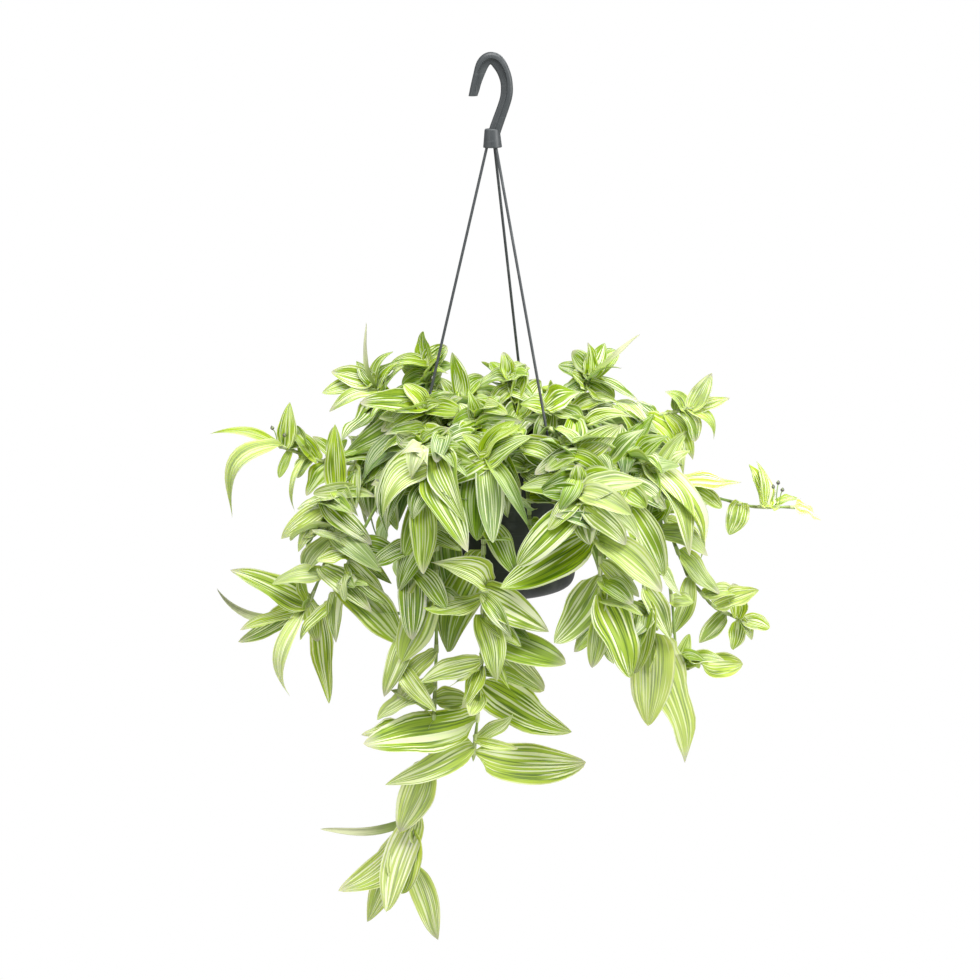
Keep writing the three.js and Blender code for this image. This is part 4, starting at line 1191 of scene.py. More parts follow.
@dataclass
class Hanger:
    """The moulded hook with its collar, and three strands that end in saddles on the rim."""

    pot: Pot
    azimuths: dict[str, float] = field(
        default_factory=lambda: {"left": 160.0, "front": 56.0, "back": -72.0}
    )
    strand_radius: float = 1.2
    strand_circle: float = 3.4
    strand_entry: float = 7.0
    strand_overlap: float = 2.5
    strand_steps: int = 30
    strand_sides: int = 14
    saddle_play: float = 0.75
    saddle_width: float = 9.0
    saddle_grip: float = 1.6
    saddle_rise: float = 4.0
    saddle_fall: float = 11.0
    roof_gap: float = 0.35
    collar_top: float = -54.0
    collar_height: float = 16.0
    collar_radii: tuple[float, float] = (6.4, 8.0)
    collar_sides: int = 40
    sharp: float = 40.0
    width: float = 9.0
    web: float = 4.4
    flange: float = 5.4
    steps: int = 120
    outer: Sequence[tuple[float, float]] = (
        (468.5, 96), (470.5, 86), (473, 75), (475.8, 64), (480, 57), (486, 52.8), (493, 52),
        (500, 54.5), (505, 60), (509, 68), (512, 78), (513, 90), (511.8, 99), (508.8, 109),
        (505.3, 119), (501.5, 130), (499.5, 136),
    )
    inner: Sequence[tuple[float, float]] = (
        (477.5, 96), (479.5, 90), (481.5, 83), (485, 74), (488, 67.5), (490.5, 64.5), (493, 67.2),
        (497, 73), (500, 81), (500.8, 88), (500.2, 96), (498, 104), (494, 115), (490, 126),
        (487, 136),
    )

    def edge(self, pixels: Sequence[tuple[float, float]]) -> np.ndarray:
        """A smooth edge through pixels, with the end points repeated.

        Args:
            pixels: The edge in the photograph, across and down.

        Returns:
            Places in the plane Y = 0.
        """
        places = np.array([VIEW.seen(across, down, 0) for across, down in pixels])
        held = np.concatenate([places[:1], places, places[-1:]])
        at = np.linspace(0, len(places) - 1, self.steps)
        start = np.minimum(at.astype(int), len(places) - 2)
        return smooth_curve([held[start + k] for k in range(4)], (at - start)[:, None])

    def section(self) -> np.ndarray:
        """The hook's rounded T: rows of depth below its outer edge as a share, mm, and half width.

        Returns:
            Rows of (share of the depth, mm of depth, mm across) going once round.
        """
        half, web = self.width / 2, self.web / 2
        corners = np.array([
            [0, 0.0, half - 3.4], [0, 0.3, half - 1.9], [0, 1.2, half - 0.6], [0, 2.6, half],
            [0, self.flange - 0.5, half], [0, self.flange, half - 0.6],
            [0, self.flange + 0.2, web + 0.5], [0, self.flange + 0.9, web], [1, -2.2, web],
            [1, -1.0, web - 0.5], [1, -0.3, web - 1.1], [1, 0.0, web - 1.7],
        ])
        mirrored = corners[::-1] * np.array([1, 1, -1])
        return np.concatenate([corners, mirrored])

    def hook(self) -> Shell:
        """The hook: its section carried along, each point outer + way (share gap + mm) + across.

        Returns:
            The closed hook.
        """
        outer, inner = self.edge(self.outer), self.edge(self.inner)
        gap = np.linalg.norm(inner - outer, axis=-1)[:, None, None]
        way = unit(inner - outer)[:, None]
        section = self.section()
        depth = section[None, :, :1] * gap + section[None, :, 1:2]
        beside = section[None, :, 2:] * np.array([0.0, 1.0, 0.0])
        rings = outer[:, None] + way * depth - beside
        return closed_grid(rings, Finish.HANGER)

    def collar(self) -> Shell:
        """The tapered collar under the hook.

        Returns:
            The closed collar.
        """
        top, bottom = self.collar_top, self.collar_top - self.collar_height
        small, large = self.collar_radii
        corners = np.array([
            [0, bottom], [large, bottom], [large, bottom + 1], [small, top], [0, top],
        ], dtype=float)
        outline = rounded(corners, np.array([0, 0.7, 0, 1.2, 0]))
        return lathe(outline, self.collar_sides, Finish.HANGER)

    def strand_ends(self, azimuth: float) -> tuple[np.ndarray, np.ndarray, np.ndarray]:
        """The way out to a strand's saddle, its lower end and its upper end.

        Args:
            azimuth: Degrees from +X towards -Y.

        Returns:
            The three, in that order.
        """
        out = level_way(-azimuth)
        low = out * (self.pot.radius - self.pot.wall / 2) + UP * (self.pot.rim_top + self.saddle_rise)
        high = out * self.strand_circle
        high = high + UP * (self.collar_top - self.collar_height + self.strand_entry)
        return out, low, high

    def saddle(self, azimuth: float) -> Shell:
        """The rounded saddle over the rim: an upside-down U carried across its width.

        Args:
            azimuth: Degrees from +X towards -Y.

        Returns:
            The closed saddle.
        """
        out, _, _ = self.strand_ends(azimuth)
        beside = np.cross(UP, out)
        gap = (self.pot.wall + 2 * self.saddle_play) / 2
        grip, roof = self.saddle_grip, self.pot.rim_top + self.roof_gap
        top, foot = self.pot.rim_top + self.saddle_rise, self.pot.rim_top - self.saddle_fall
        outline = np.array([
            [-gap - grip, foot], [-gap - grip, top - 1.5], [-gap, top], [gap, top],
            [gap + grip, top - 1.5], [gap + grip, foot], [gap + 0.5, foot - 0.4], [gap, foot],
            [gap, roof], [-gap, roof], [-gap, foot], [-gap - 0.5, foot - 0.4],
        ])
        middle = outline.mean(axis=0)
        across = np.array([-0.5, -0.47, -0.42, 0.42, 0.47, 0.5]) * self.saddle_width
        tuck = np.array([0.7, 0.25, 0.0, 0.0, 0.25, 0.7])
        legs = unit(outline - middle)
        shapes = outline[None] - legs[None] * tuck[:, None, None] * 0.5
        start = out * (self.pot.radius - self.pot.wall / 2)
        rings = start + out * shapes[..., :1] + UP * shapes[..., 1:] + beside * across[:, None, None]
        return closed_grid(rings, Finish.HANGER)

    def strand(self, azimuth: float) -> Shell:
        """The taut round strand from its saddle into the collar.

        Args:
            azimuth: Degrees from +X towards -Y.

        Returns:
            The closed strand.
        """
        _, low, high = self.strand_ends(azimuth)
        overlap = unit(high - low) * self.strand_overlap
        share = np.linspace(0, 1, self.strand_steps)[:, None]
        middles = low - overlap + (high - low + overlap) * share
        radii = np.full(len(middles), self.strand_radius)
        return tube(middles, radii, self.strand_sides, Finish.HANGER)

    def build(self) -> None:
        """Makes the hook and the strands."""
        piece = make_piece("hanger_hook_moulding", [self.hook(), self.collar()], self.sharp)
        hand_over(piece, "hanger_plastic", "hanger_hook")
        for name, azimuth in self.azimuths.items():
            shells = [self.strand(azimuth), self.saddle(azimuth)]
            strand = make_piece(f"hanger_strand_{name}_round", shells, self.sharp)
            hand_over(strand, "hanger_plastic", f"hanger_strand_{name}")


# Plant: the plan that the solids follow


@dataclass(frozen=True)
class SeenStem:
    """A leafy stem that the photograph shows.

    path holds the pixels and depths that the stalk passes through after its root. Each leaf is the
    place on the path that it grows from, counted in path points, the pixel of its tip, how much
    nearer (-) or farther its tip lies, and its width and arch.
    """

    path: list[tuple[float, float, float]]
    leaves: list[tuple[float, float, float, float, float, float]]


SEEN_STEMS: dict[str, SeenStem] = {
    "trail_centre": SeenStem([
        (487, 430, -85), (484, 500, -108), (483, 600, -108), (481, 680, -105), (474, 752, -102),
    ], [
        (1.85, 430, 562, -18, 1.25, 0.4), (1.5, 447, 652, -12, 1.3, 0.1),
        (2, 424, 608, -10, 0.95, -0.2), (2, 549, 632, -12, 1.15, 0.05), (2.4, 566, 664, -14, 1.2, -0.1),
        (2.2, 497, 681, -20, 1.1, 0.15), (2.75, 420, 682, -6, 1, 0.05), (2.9, 541, 691, -6, 0.8, 0.1),
        (3, 572, 732, -16, 1.25, -0.28), (3.2, 470, 716, -22, 0.8, 0.1),
        (3.5, 363, 744, -16, 1.55, -0.2), (3.85, 513, 714, -2, 0.9, -0.15),
        (4, 586, 762, -16, 1.1, -0.42), (4, 385, 785, -6, 0.8, 0), (1.2, 516, 574, -4, 1, 0.2),
        (0.9, 452, 548, -8, 0.9, 0.2), (2.2, 530, 640, -4, 0.7, -0.1), (2.45, 544, 691, 4, 0.8, 0),
        (2.9, 462, 708, -10, 1, 0.2), (3.9, 518, 749, -4, 0.5, 0.1),
    ]),
    "trail_left": SeenStem([
        (445, 435, -82), (436, 520, -97), (437, 600, -94), (435, 700, -90), (430, 760, -86),
        (422, 800, -83), (412, 828, -80), (414, 866, -78),
    ], [
        (1.1, 398, 592, -6, 1, 0.25), (1.7, 402, 662, -6, 1.1, 0.15), (2.5, 398, 700, -4, 0.8, 0.2),
        (2.9, 377, 720, -6, 1.05, 0.15), (3.3, 361, 735, -4, 1.2, -0.1), (3.1, 470, 700, 6, 1.1, 0),
        (4.1, 400, 832, -8, 1.5, 0.05), (5.5, 320, 829, 0, 0.26, -0.25), (6, 402, 894, -8, 1.7, 0.05),
        (6, 338, 891, -4, 1.05, -0.32), (5.8, 367, 922, 4, 1.4, -0.1), (7, 438, 940, 0, 0.85, 0.1),
        (5.5, 386, 912, 6, 0.9, 0), (0.8, 454, 612, -8, 1.2, 0.15), (0.4, 405, 556, -8, 1, 0),
    ]),
    "rosette_front": SeenStem([(472, 420, -66), (482, 442, -96), (487, 463, -113)], [
        (2, 532, 436, -18, 1.45, 0.25), (2, 446, 484, -14, 1, 0.3), (1.9, 477, 541, -16, 1.35, 0.12),
        (2, 493, 543, -10, 0.8, 0.15), (1.9, 508, 518, -6, 0.8, 0.2), (2, 532, 534, -14, 0.5, 0.5),
        (1.7, 462, 434, -4, 0.8, 0.2), (1.6, 505, 420, 2, 0.8, 0.2), (1, 444, 446, -10, 1, 0.3),
        (0.6, 520, 442, -14, 1, 0.35),
    ]),
    "rosette_pale": SeenStem([(430, 425, -60), (420, 452, -95)], [
        (1, 461, 446, -14, 0.9, 0.3), (1, 371, 485, -12, 1.3, -0.25), (0.9, 388, 538, -8, 0.8, 0.5),
        (1, 399, 444, -6, 0.7, 0.3), (1, 410, 480, -20, 0.7, 0.1), (1, 437, 466, -18, 0.6, 0.2),
    ]),
    "spray_right_low": SeenStem([
        (575, 450, -92), (597, 545, -122), (598, 585, -122), (598, 640, -118),
    ], [
        (1, 500, 588, -16, 1.15, -0.16), (1.1, 662, 592, -12, 1.15, 0.25),
        (1.7, 554, 643, -6, 1.25, -0.22), (2.6, 592, 668, -8, 0.9, 0.1), (2.2, 630, 678, -8, 1.1, 0.1),
        (1.9, 633, 604, -12, 1, 0.3), (2.8, 574, 652, -2, 0.8, 0.1), (0.6, 640, 540, -10, 1, 0.3),
        (2.9, 614, 664, 6, 0.8, 0.1), (0, 620, 426, -8, 1.15, 0.2), (0.1, 534, 470, -10, 1, 0.4),
    ]),
    "rosette_right": SeenStem([(560, 436, -78), (577, 478, -112), (580, 508, -119)], [
        (1.8, 643, 482, -12, 1.2, 0.25), (2, 590, 545, -12, 1.25, 0.12), (2, 518, 566, -14, 1.05, 0.2),
        (1.3, 520, 488, -8, 1.5, 0.05), (1.2, 577, 464, -2, 0.8, 0.3), (2, 626, 545, -10, 1.1, 0.3),
        (1.5, 632, 515, -2, 1, 0.3), (1.7, 548, 530, -14, 0.9, 0.3),
    ]),
    "hang_right": SeenStem([(612, 448, -62), (640, 555, -88), (645, 605, -88), (655, 640, -84)], [
        (2.8, 648, 726, -8, 1.35, 0.05), (3, 685, 763, -4, 1.4, 0.12), (3, 677, 690, 4, 0.8, 0.1),
        (2.3, 622, 645, -4, 1, 0.15), (1.6, 671, 640, -8, 1, 0.1), (1, 607, 600, -10, 1, 0.25),
        (0.9, 682, 596, -6, 1.2, 0.05), (1.9, 634, 674, -8, 1.1, 0.1), (0, 646, 428, -4, 1, 0.35),
        (0.1, 586, 466, -14, 1.1, 0.3), (0.4, 646, 508, -10, 1, 0.3), (0.6, 664, 576, -10, 1.2, 0.1),
    ]),
    "shoot_right_low": SeenStem([
        (640, 446, -32), (668, 560, -52), (675, 650, -56), (682, 671, -56), (700, 662, -56),
    ], [
        (4, 743, 664, -4, 1.25, -0.1), (1.4, 694, 602, -6, 0.8, 0.2), (0.8, 708, 556, -6, 1, 0.3),
        (2.3, 690, 634, 4, 0.7, 0.2), (0, 670, 436, -4, 1, 0.35), (0.3, 676, 505, -10, 1.1, 0.3),
        (0.6, 628, 530, -8, 1, 0.25),
    ]),
    "branch_right_low": SeenStem([(640, 440, 10), (672, 540, -15), (702, 598, -20), (742, 620, -15)], [
        (1.2, 720, 594, -6, 1.1, 0), (2, 736, 592, -6, 1, 0.2), (2.3, 759, 590, -6, 1.4, 0),
        (3, 770, 628, 0, 0.8, 0.1), (2.6, 699, 643, -6, 1, -0.1), (2.9, 733, 650, 4, 1, 0.1),
        (3, 752, 640, 2, 0.6, 0.1), (1.6, 673, 634, -6, 0.9, 0.2), (0.2, 612, 404, -4, 1, 0.2),
        (0.5, 700, 505, -6, 1.1, 0.3), (0.8, 706, 552, 4, 1, 0.3),
    ]),
    "far_right": SeenStem([(620, 444, 0), (665, 479, -10), (740, 503, 0), (795, 505, 5)], [
        (1.1, 742, 482, -8, 1.45, 0.05), (1.3, 722, 508, -8, 1, 0), (2, 729, 535, -8, 1.1, 0.1),
        (2.4, 749, 464, 4, 1.3, 0.1), (2.6, 764, 506, -4, 0.5, 0.2), (3, 821, 520, 0, 1, 0.3),
        (0.9, 660, 522, -12, 1, 0.25), (2.5, 800, 499, 2, 0.5, 0.2), (0.8, 690, 450, 8, 0.9, 0.3),
        (0.1, 656, 412, 6, 1, 0.35),
    ]),
    "right_upper": SeenStem([(600, 428, 25), (645, 418, 20), (692, 408, 15)], [
        (2, 712, 373, 0, 0.85, 0.1), (2, 730, 398, 0, 0.8, -0.05), (1.8, 665, 391, 6, 1, 0.3),
        (2, 714, 440, 0, 0.6, 0.5), (1.8, 695, 442, -6, 0.8, 0.3), (1, 684, 478, -10, 1, 0.35),
        (1.4, 693, 460, 0, 0.9, 0.3), (1.2, 637, 401, 8, 0.85, 0.1),
    ]),
    "right_mid": SeenStem([(600, 440, -32), (650, 470, -42)], [
        (1, 645, 524, -12, 1.1, 0.2), (1, 680, 466, -6, 0.9, 0.3), (1, 690, 556, -8, 0.9, 0.3),
        (0.9, 701, 560, 2, 1, 0.34), (0.3, 622, 424, -2, 1.1, 0.25), (0.6, 612, 496, -10, 1, 0.25),
    ]),
    "top_left": SeenStem([(435, 410, 20), (428, 364, 25)], [
        (1, 423, 331, 0, 1, 0.05), (1, 447, 346, 0, 1.1, 0.1), (1, 381, 386, 4, 1, 0.6),
        (0.9, 387, 370, 2, 0.9, 0.3), (0.6, 402, 386, -6, 0.9, 0.3), (0.8, 454, 366, -6, 0.8, 0.2),
    ]),
    "top_inner": SeenStem([(466, 420, 5), (463, 398, 5)], [
        (1, 452, 352, 0, 0.8, 0.05), (0.8, 440, 385, -4, 0.8, 0.3), (1, 486, 378, 0, 0.9, 0.3),
        (0.6, 496, 400, -6, 0.9, 0.3),
    ]),
    "top_middle": SeenStem([(512, 408, 10), (508, 378, 12)], [
        (1, 503, 352, 0, 0.75, 0.1), (1, 529, 374, 0, 0.85, 0.3), (1, 480, 386, -4, 0.9, 0.3),
        (0.7, 534, 400, -4, 1, 0.15), (0.6, 488, 408, -8, 0.9, 0.2), (0.9, 517, 364, 6, 0.7, 0.1),
        (1, 490, 362, 2, 0.9, 0.1),
    ]),
    "top_right": SeenStem([(578, 412, 15), (592, 376, 18)], [
        (1, 572, 351, 0, 0.95, 0.15), (1, 588, 342, 4, 1.05, 0.1), (1, 605, 343, 0, 1, 0.1),
        (1, 617, 351, 0, 1, 0.15), (1, 622, 368, -4, 1, 0.2), (0.9, 640, 334, 4, 0.24, 0.05),
        (0.7, 558, 366, 6, 0.8, 0.3), (0.6, 560, 396, -8, 1, 0.3), (0.7, 614, 400, -8, 1.1, 0.05),
    ]),
    "top_front_right": SeenStem([(552, 424, -32), (546, 408, -36)], [
        (1, 582, 392, 0, 1.2, 0.35), (0.9, 564, 412, -20, 1, 0.3), (1, 520, 404, -2, 0.9, 0.3),
        (0.8, 586, 424, -12, 1, 0.3), (0.6, 538, 448, -18, 1, 0.3),
    ]),
    "crown_left": SeenStem([(436, 424, -25), (425, 408, -42)], [
        (1, 404, 384, 0, 0.85, 0.2), (1, 360, 403, -4, 1.15, 0.25), (1, 386, 428, -10, 1, 0.3),
        (1, 474, 416, -12, 1, 0.35), (1, 440, 442, -14, 0.9, 0.2), (0.8, 450, 392, 2, 0.8, 0.3),
        (0.7, 344, 456, -6, 0.9, 0.1),
    ]),
    "crown_far_left": SeenStem([(396, 412, 0), (373, 382, 8)], [
        (1, 331, 372, 0, 1, 0.05), (1, 322, 393, -4, 1, 0.05), (1, 356, 361, 6, 0.7, 0.1),
        (1, 366, 322, 4, 0.22, 0.3), (1, 329, 412, -8, 0.7, 0.2), (0.9, 393, 430, -14, 1.3, -0.1),
        (0.9, 396, 360, 2, 0.8, 0.25), (0.5, 342, 440, -8, 1.4, 0),
    ]),
    "crown_middle": SeenStem([(478, 430, -52), (484, 414, -58)], [
        (1, 468, 402, 0, 0.8, 0.2), (1, 500, 396, 2, 0.8, 0.2), (1, 512, 436, -10, 1, 0.3),
        (0.8, 452, 424, -6, 0.9, 0.3),
    ]),
    "far_left": SeenStem([(362, 464, 0), (320, 461, 0), (278, 445, 0)], [
        (2, 209, 434, 0, 0.45, 0.34), (1.9, 232, 518, -8, 0.7, 0.6), (1.95, 290, 402, 4, 0.95, 0.12),
        (1.9, 312, 448, 4, 0.6, 0.2), (1.9, 279, 478, -8, 0.5, 0.1), (1.3, 295, 512, -6, 0.32, 0.5),
        (1.3, 297, 478, -10, 0.8, 0.1), (0.7, 335, 426, 4, 0.6, 0.1), (0.5, 345, 512, -10, 1, 0.3),
        (0.6, 306, 496, -8, 1.2, 0.1),
    ]),
    "left_mid": SeenStem([(354, 474, -48), (328, 500, -56), (333, 540, -60)], [
        (1.2, 281, 539, -6, 1, 0.2), (1.5, 298, 552, -8, 0.9, 0.25), (0.6, 335, 424, 0, 0.9, 0.1),
        (2, 300, 588, -4, 0.9, 0.25), (2, 392, 584, -8, 1, 0.1), (1.2, 372, 545, -12, 1, 0.3),
        (0.9, 297, 509, 2, 0.7, 0.15), (1.7, 382, 572, 0, 0.9, 0.3), (1.3, 310, 535, -8, 0.7, 0),
    ]),
    "left_low": SeenStem([(348, 496, -62), (328, 555, -66), (304, 612, -60)], [
        (1.9, 230, 570, -6, 1, -0.05), (1.3, 272, 584, -4, 1, 0.3), (2, 240, 630, -6, 0.9, 0.05),
        (1.8, 217, 588, 0, 0.28, -0.95), (2, 290, 697, -8, 0.6, 0.6), (1.9, 318, 642, -8, 0.8, 0.1),
        (1.7, 329, 704, 4, 0.75, -0.25), (1.2, 372, 612, -8, 1, 0.3), (1.95, 238, 642, -2, 0.7, -0.15),
    ]),
    "left_front": SeenStem([(372, 512, -82), (346, 570, -80), (332, 606, -76)], [
        (0.5, 404, 560, -14, 1.1, 0.2), (0.9, 390, 606, -8, 0.95, 0.2), (1.2, 402, 643, -10, 1.3, 0.15),
        (1.6, 336, 643, -6, 0.8, 0.1), (0.7, 316, 560, -6, 1, 0.3), (2, 300, 640, -6, 0.8, 0.1),
    ]),
    "left_inner": SeenStem([(420, 520, -90), (406, 640, -92), (400, 676, -90)], [
        (1, 384, 697, -6, 0.95, 0.1), (0.4, 412, 640, -10, 1.2, 0.15), (1.7, 436, 712, -6, 0.9, 0.25),
        (2, 404, 742, -4, 0.9, 0.12), (0.6, 452, 620, -8, 1, 0.3), (0.2, 372, 566, -6, 1, 0.3),
    ]),
}


# Closed buds: the pixel and depth of each one's foot
BUD_SPOTS: dict[str, list[tuple[float, float, float]]] = {
    "far_left": [(273, 430, -2), (284, 437, -3), (291, 432, 2)],
    "far_right": [(773, 489, 0), (782, 492, -2), (778, 485, 3)],
    "rosette_pale": [(417, 450, -118)],
}

# Young and withered leaves that only the fine model has: their foot, then tip, width and arch
YOUNG_SPOTS: dict[str, tuple[tuple[float, float, float], list[tuple[float, ...]]]] = {
    "rosette_pale": (
        (420, 449, -112),
        [(411, 480, -124, 0.85, 0.5), (400, 455, -126, 0.7, 0.5), (428, 466, -128, 0.65, 0.4)],
    ),
    "left_low": ((302, 614, -60), [(217, 588, -64, 0.28, -1.15)]),
}


@dataclass(frozen=True)
class Leaf:
    """One leaf: its foot on the stalk, its tip, which way its upper side looks, and its shape."""

    base: np.ndarray
    tip: np.ndarray
    side: np.ndarray
    width: float
    arch: float
    roll: float
    seed: int
    at: float
    young: bool = False


@dataclass
class Stem:
    """One leafy stem: where it runs, the leaves that are read and how many a rule sets."""

    name: str
    seed: int
    path: list[np.ndarray]
    spots: list[tuple[float, float, float, float, float, float]]
    count: int
    root: np.ndarray = field(default_factory=lambda: np.zeros(3))
    points: np.ndarray = field(default_factory=lambda: np.zeros((0, 3)))
    offset: int = 1
    leaves: list[Leaf] = field(default_factory=list)

    @property
    def node(self) -> str:
        """The solid that stands for the stem."""
        return f"stem_{self.name}"


@dataclass(frozen=True)
class StemRule:
    """How stems that no pixel gives are spread: azimuths from +X towards +Y, and sizes in mm."""

    azimuths: tuple[float, ...]
    leaves: int
    reach: tuple[float, float]
    fall: tuple[float, float]


@dataclass
class PlantPlan:
    """Repeats the rules that placed the solids, and picks the tries that the solids hold."""

    pot: Pot
    soil: Soil
    back: StemRule = StemRule(tuple(14 + 19 * i for i in range(9)), 7, (28, 62), (50, 120))
    side: StemRule = StemRule((196, 222, 243, 262, 281, 320), 6, (16, 32), (22, 60))
    crown: StemRule = StemRule(tuple(30 + 34 * i for i in range(6)), 6, (12, 42), (6, 18))
    stem_radius: float = 1.8
    stem_point: float = 4.0
    root_depth: float = 14.0
    root_rise: float = 3.0
    root_places: int = 52
    root_spread: float = 57.0
    root_share: float = 0.8
    below_root: float = 12.0
    taper: float = 0.4
    crossing_rise: float = 14.0
    stem_step: float = 44.0
    leaf_spacing: float = 0.07
    same_place: float = 0.06
    look_back: float = 0.05
    leaf_sink: float = 0.6
    leaf_seeds: int = 64
    leaf_length: float = 70.0
    width_share: float = 0.34
    width_lengths: tuple[float, float] = (50.0, 80.0)
    keel_share: float = 0.15
    keel_least: float = 0.9
    stations: tuple[float, ...] = (0.15, 0.45, 0.8)
    small_stations: tuple[float, ...] = (0.22, 0.66)
    small_blade: float = 70.0
    small_seeds: int = 4000
    young_seeds: int = 5000
    small_tries: int = 13
    small_length: tuple[float, float] = (26.0, 50.0)
    small_near: float = 15.0
    corner_gap: float = 0.05
    stem_shifts: tuple[float, ...] = (0, 4, -4, 8, -8, 12, -12, 16, -16, 20, -20, 25, -25, 30, -30)
    tip_shifts: tuple[float, ...] = (0, -5, 5, -10, 10, -16, 16, -23, 23, -31, 31, -40, 40, -50, 50)
    tip_swings: tuple[float, ...] = (0, 10, -10, 20, -20, 32, -32, 46, -46, 60, -60, 76, -76, 94, -94)

    def outwards(self, azimuth: float, radius: float, height: float) -> np.ndarray:
        """The place at an azimuth, a radius and a height."""
        return radius * level_way(azimuth) + UP * height

    def hanging_path(self, seed: int, azimuth: float, rule: StemRule) -> list[np.ndarray]:
        """A stem that leans over the rim and hangs down outside.

        Args:
            seed: The stem's seed.
            azimuth: Degrees from +X towards +Y.
            rule: How such stems spread.

        Returns:
            The points after its root.
        """
        reach, fall = spread(seed, 1, *rule.reach), spread(seed, 2, *rule.fall)
        turn = spread(seed, 3, -10, 10)
        rim, radius = self.pot.rim_top, self.pot.radius
        return [
            self.outwards(azimuth, radius + 0.4 * reach, rim + 16),
            self.outwards(azimuth + 0.5 * turn, radius + 0.85 * reach, rim - 0.25 * fall),
            self.outwards(azimuth + turn, radius + reach, rim - fall),
        ]

    def standing_path(self, seed: int, azimuth: float, rule: StemRule) -> list[np.ndarray]:
        """A stem that stands up in the middle of the pot; fall is then how far it rises.

        Args:
            seed: The stem's seed.
            azimuth: Degrees from +X towards +Y.
            rule: How such stems spread.

        Returns:
            The points after its root.
        """
        radius, rise = spread(seed, 1, *rule.reach), spread(seed, 2, *rule.fall)
        return [
            self.outwards(azimuth, radius, self.pot.rim_top + 0.3 * rise),
            self.outwards(azimuth + 8, radius * 1.35 + 6, self.pot.rim_top + rise),
        ]

    def stems(self) -> list[Stem]:
        """Every stem in the order in which the solids were raised, with its root.

        Returns:
            The stems, without leaves.
        """
        stems: list[Stem] = []
        for name, seen in SEEN_STEMS.items():
            path = [VIEW.seen(*place) for place in seen.path]
            stems.append(Stem(name, len(stems) + 1, path, seen.leaves, 0))
        rules = (("crown", self.crown, self.standing_path), ("back", self.back, self.hanging_path),
                 ("side", self.side, self.hanging_path))
        for name, rule, make_path in rules:
            for i, azimuth in enumerate(rule.azimuths):
                seed = len(stems) + 1
                path = make_path(seed, azimuth, rule)
                stems.append(Stem(f"{name}_{i + 1}", seed, path, [], rule.leaves))
        self.plant_roots(stems)
        return stems

    def plant_roots(self, stems: list[Stem]) -> None:
        """Gives each stem in turn the free place in the soil that is nearest to where it goes.

        Args:
            stems: The stems, in their order.
        """
        height = self.soil.surface() + self.root_rise
        index = np.arange(self.root_places)
        radius = self.root_spread * np.sqrt((index + 0.5) / self.root_places)
        free = [self.outwards(i * GOLDEN_ANGLE, r, height) for i, r in zip(index, radius)]
        for stem in stems:
            aim = in_plan(stem.path[0]) + UP * height
            aim[:2] *= min(1, self.root_share * self.root_spread / math.hypot(aim[0], aim[1]))
            nearest = int(np.argmin([np.linalg.norm(place - aim) for place in free]))
            stem.root = free.pop(nearest)

    def shifted(self, stem: Stem, shift: float) -> tuple[np.ndarray, int]:
        """The stem's points from its root, all but the first moved by a shift, mostly in depth.

        Args:
            stem: The stem.
            shift: How far, in mm.

        Returns:
            The points, and how many of them come before the first one of the path.
        """
        points, first = list(stem.path), stem.path[0]
        leaves_pot = math.hypot(first[0], first[1]) > self.pot.radius
        if leaves_pot:
            edge = unit(in_plan(first)) * self.pot.radius
            rise = self.crossing_rise + spread(stem.seed, 4, 0, 8)
            points.insert(0, edge + UP * (self.pot.rim_top + rise))
        way = unit(np.array([spread(stem.seed, 5, -0.5, 0.5), 1, spread(stem.seed, 6, -0.2, 0.4)]))
        return np.array([stem.root] + [point + way * shift for point in points]), 2 if leaves_pot else 1

    def along(self, points: np.ndarray, at: float) -> np.ndarray:
        """The place on the smooth curve through points, counted in points.

        The curve starts as if it came from below_root mm under the first point.

        Args:
            points: The points.
            at: The place.

        Returns:
            The place in mm.
        """
        last = len(points) - 1
        start = min(max(math.floor(at), 0), last - 1)
        before = points[start - 1] if start > 0 else points[0] - UP * self.below_root
        after = points[min(start + 2, last)]
        return smooth_curve([before, points[start], points[start + 1], after], at - start)

    def bends(self, points: np.ndarray) -> np.ndarray:
        """The bends of a stalk: straight runs along its curve.

        Args:
            points: The points of the stalk's curve.

        Returns:
            The bends, from root to tip.
        """
        length = np.linalg.norm(np.diff(points, axis=0), axis=1).sum()
        steps = max(4, math.floor(length / self.stem_step + 0.5))
        return np.array([self.along(points, (len(points) - 1) * i / steps) for i in range(steps + 1)])

    def on_stalk(self, points: np.ndarray, at: float) -> np.ndarray:
        """The place on a stalk's axis, counted in points of its curve.

        Args:
            points: The points of the stalk's curve.
            at: The place.

        Returns:
            The place in mm.
        """
        bends = self.bends(points)
        last = len(bends) - 1
        place = min(max(at / (len(points) - 1) * last, 0), last - 0.001)
        start = math.floor(place)
        return bends[start] + (bends[start + 1] - bends[start]) * (place - start)

    def run_at(self, stem: Stem, base: np.ndarray, at: float) -> np.ndarray:
        """Which way the stalk runs at a place on it."""
        return unit(base - self.along(stem.points, at - self.look_back))

    def upper_side(self, base: np.ndarray, out: float, near: float) -> np.ndarray:
        """Which way a leaf's upper side looks: up, away from the pot's axis and to the viewer."""
        return unit(in_plan(base)) * out + np.array([0, -near, 1])

    def seed_of(self, stem: Stem, index: int) -> int:
        """The seed of a stem's leaf."""
        return stem.seed * self.leaf_seeds + index

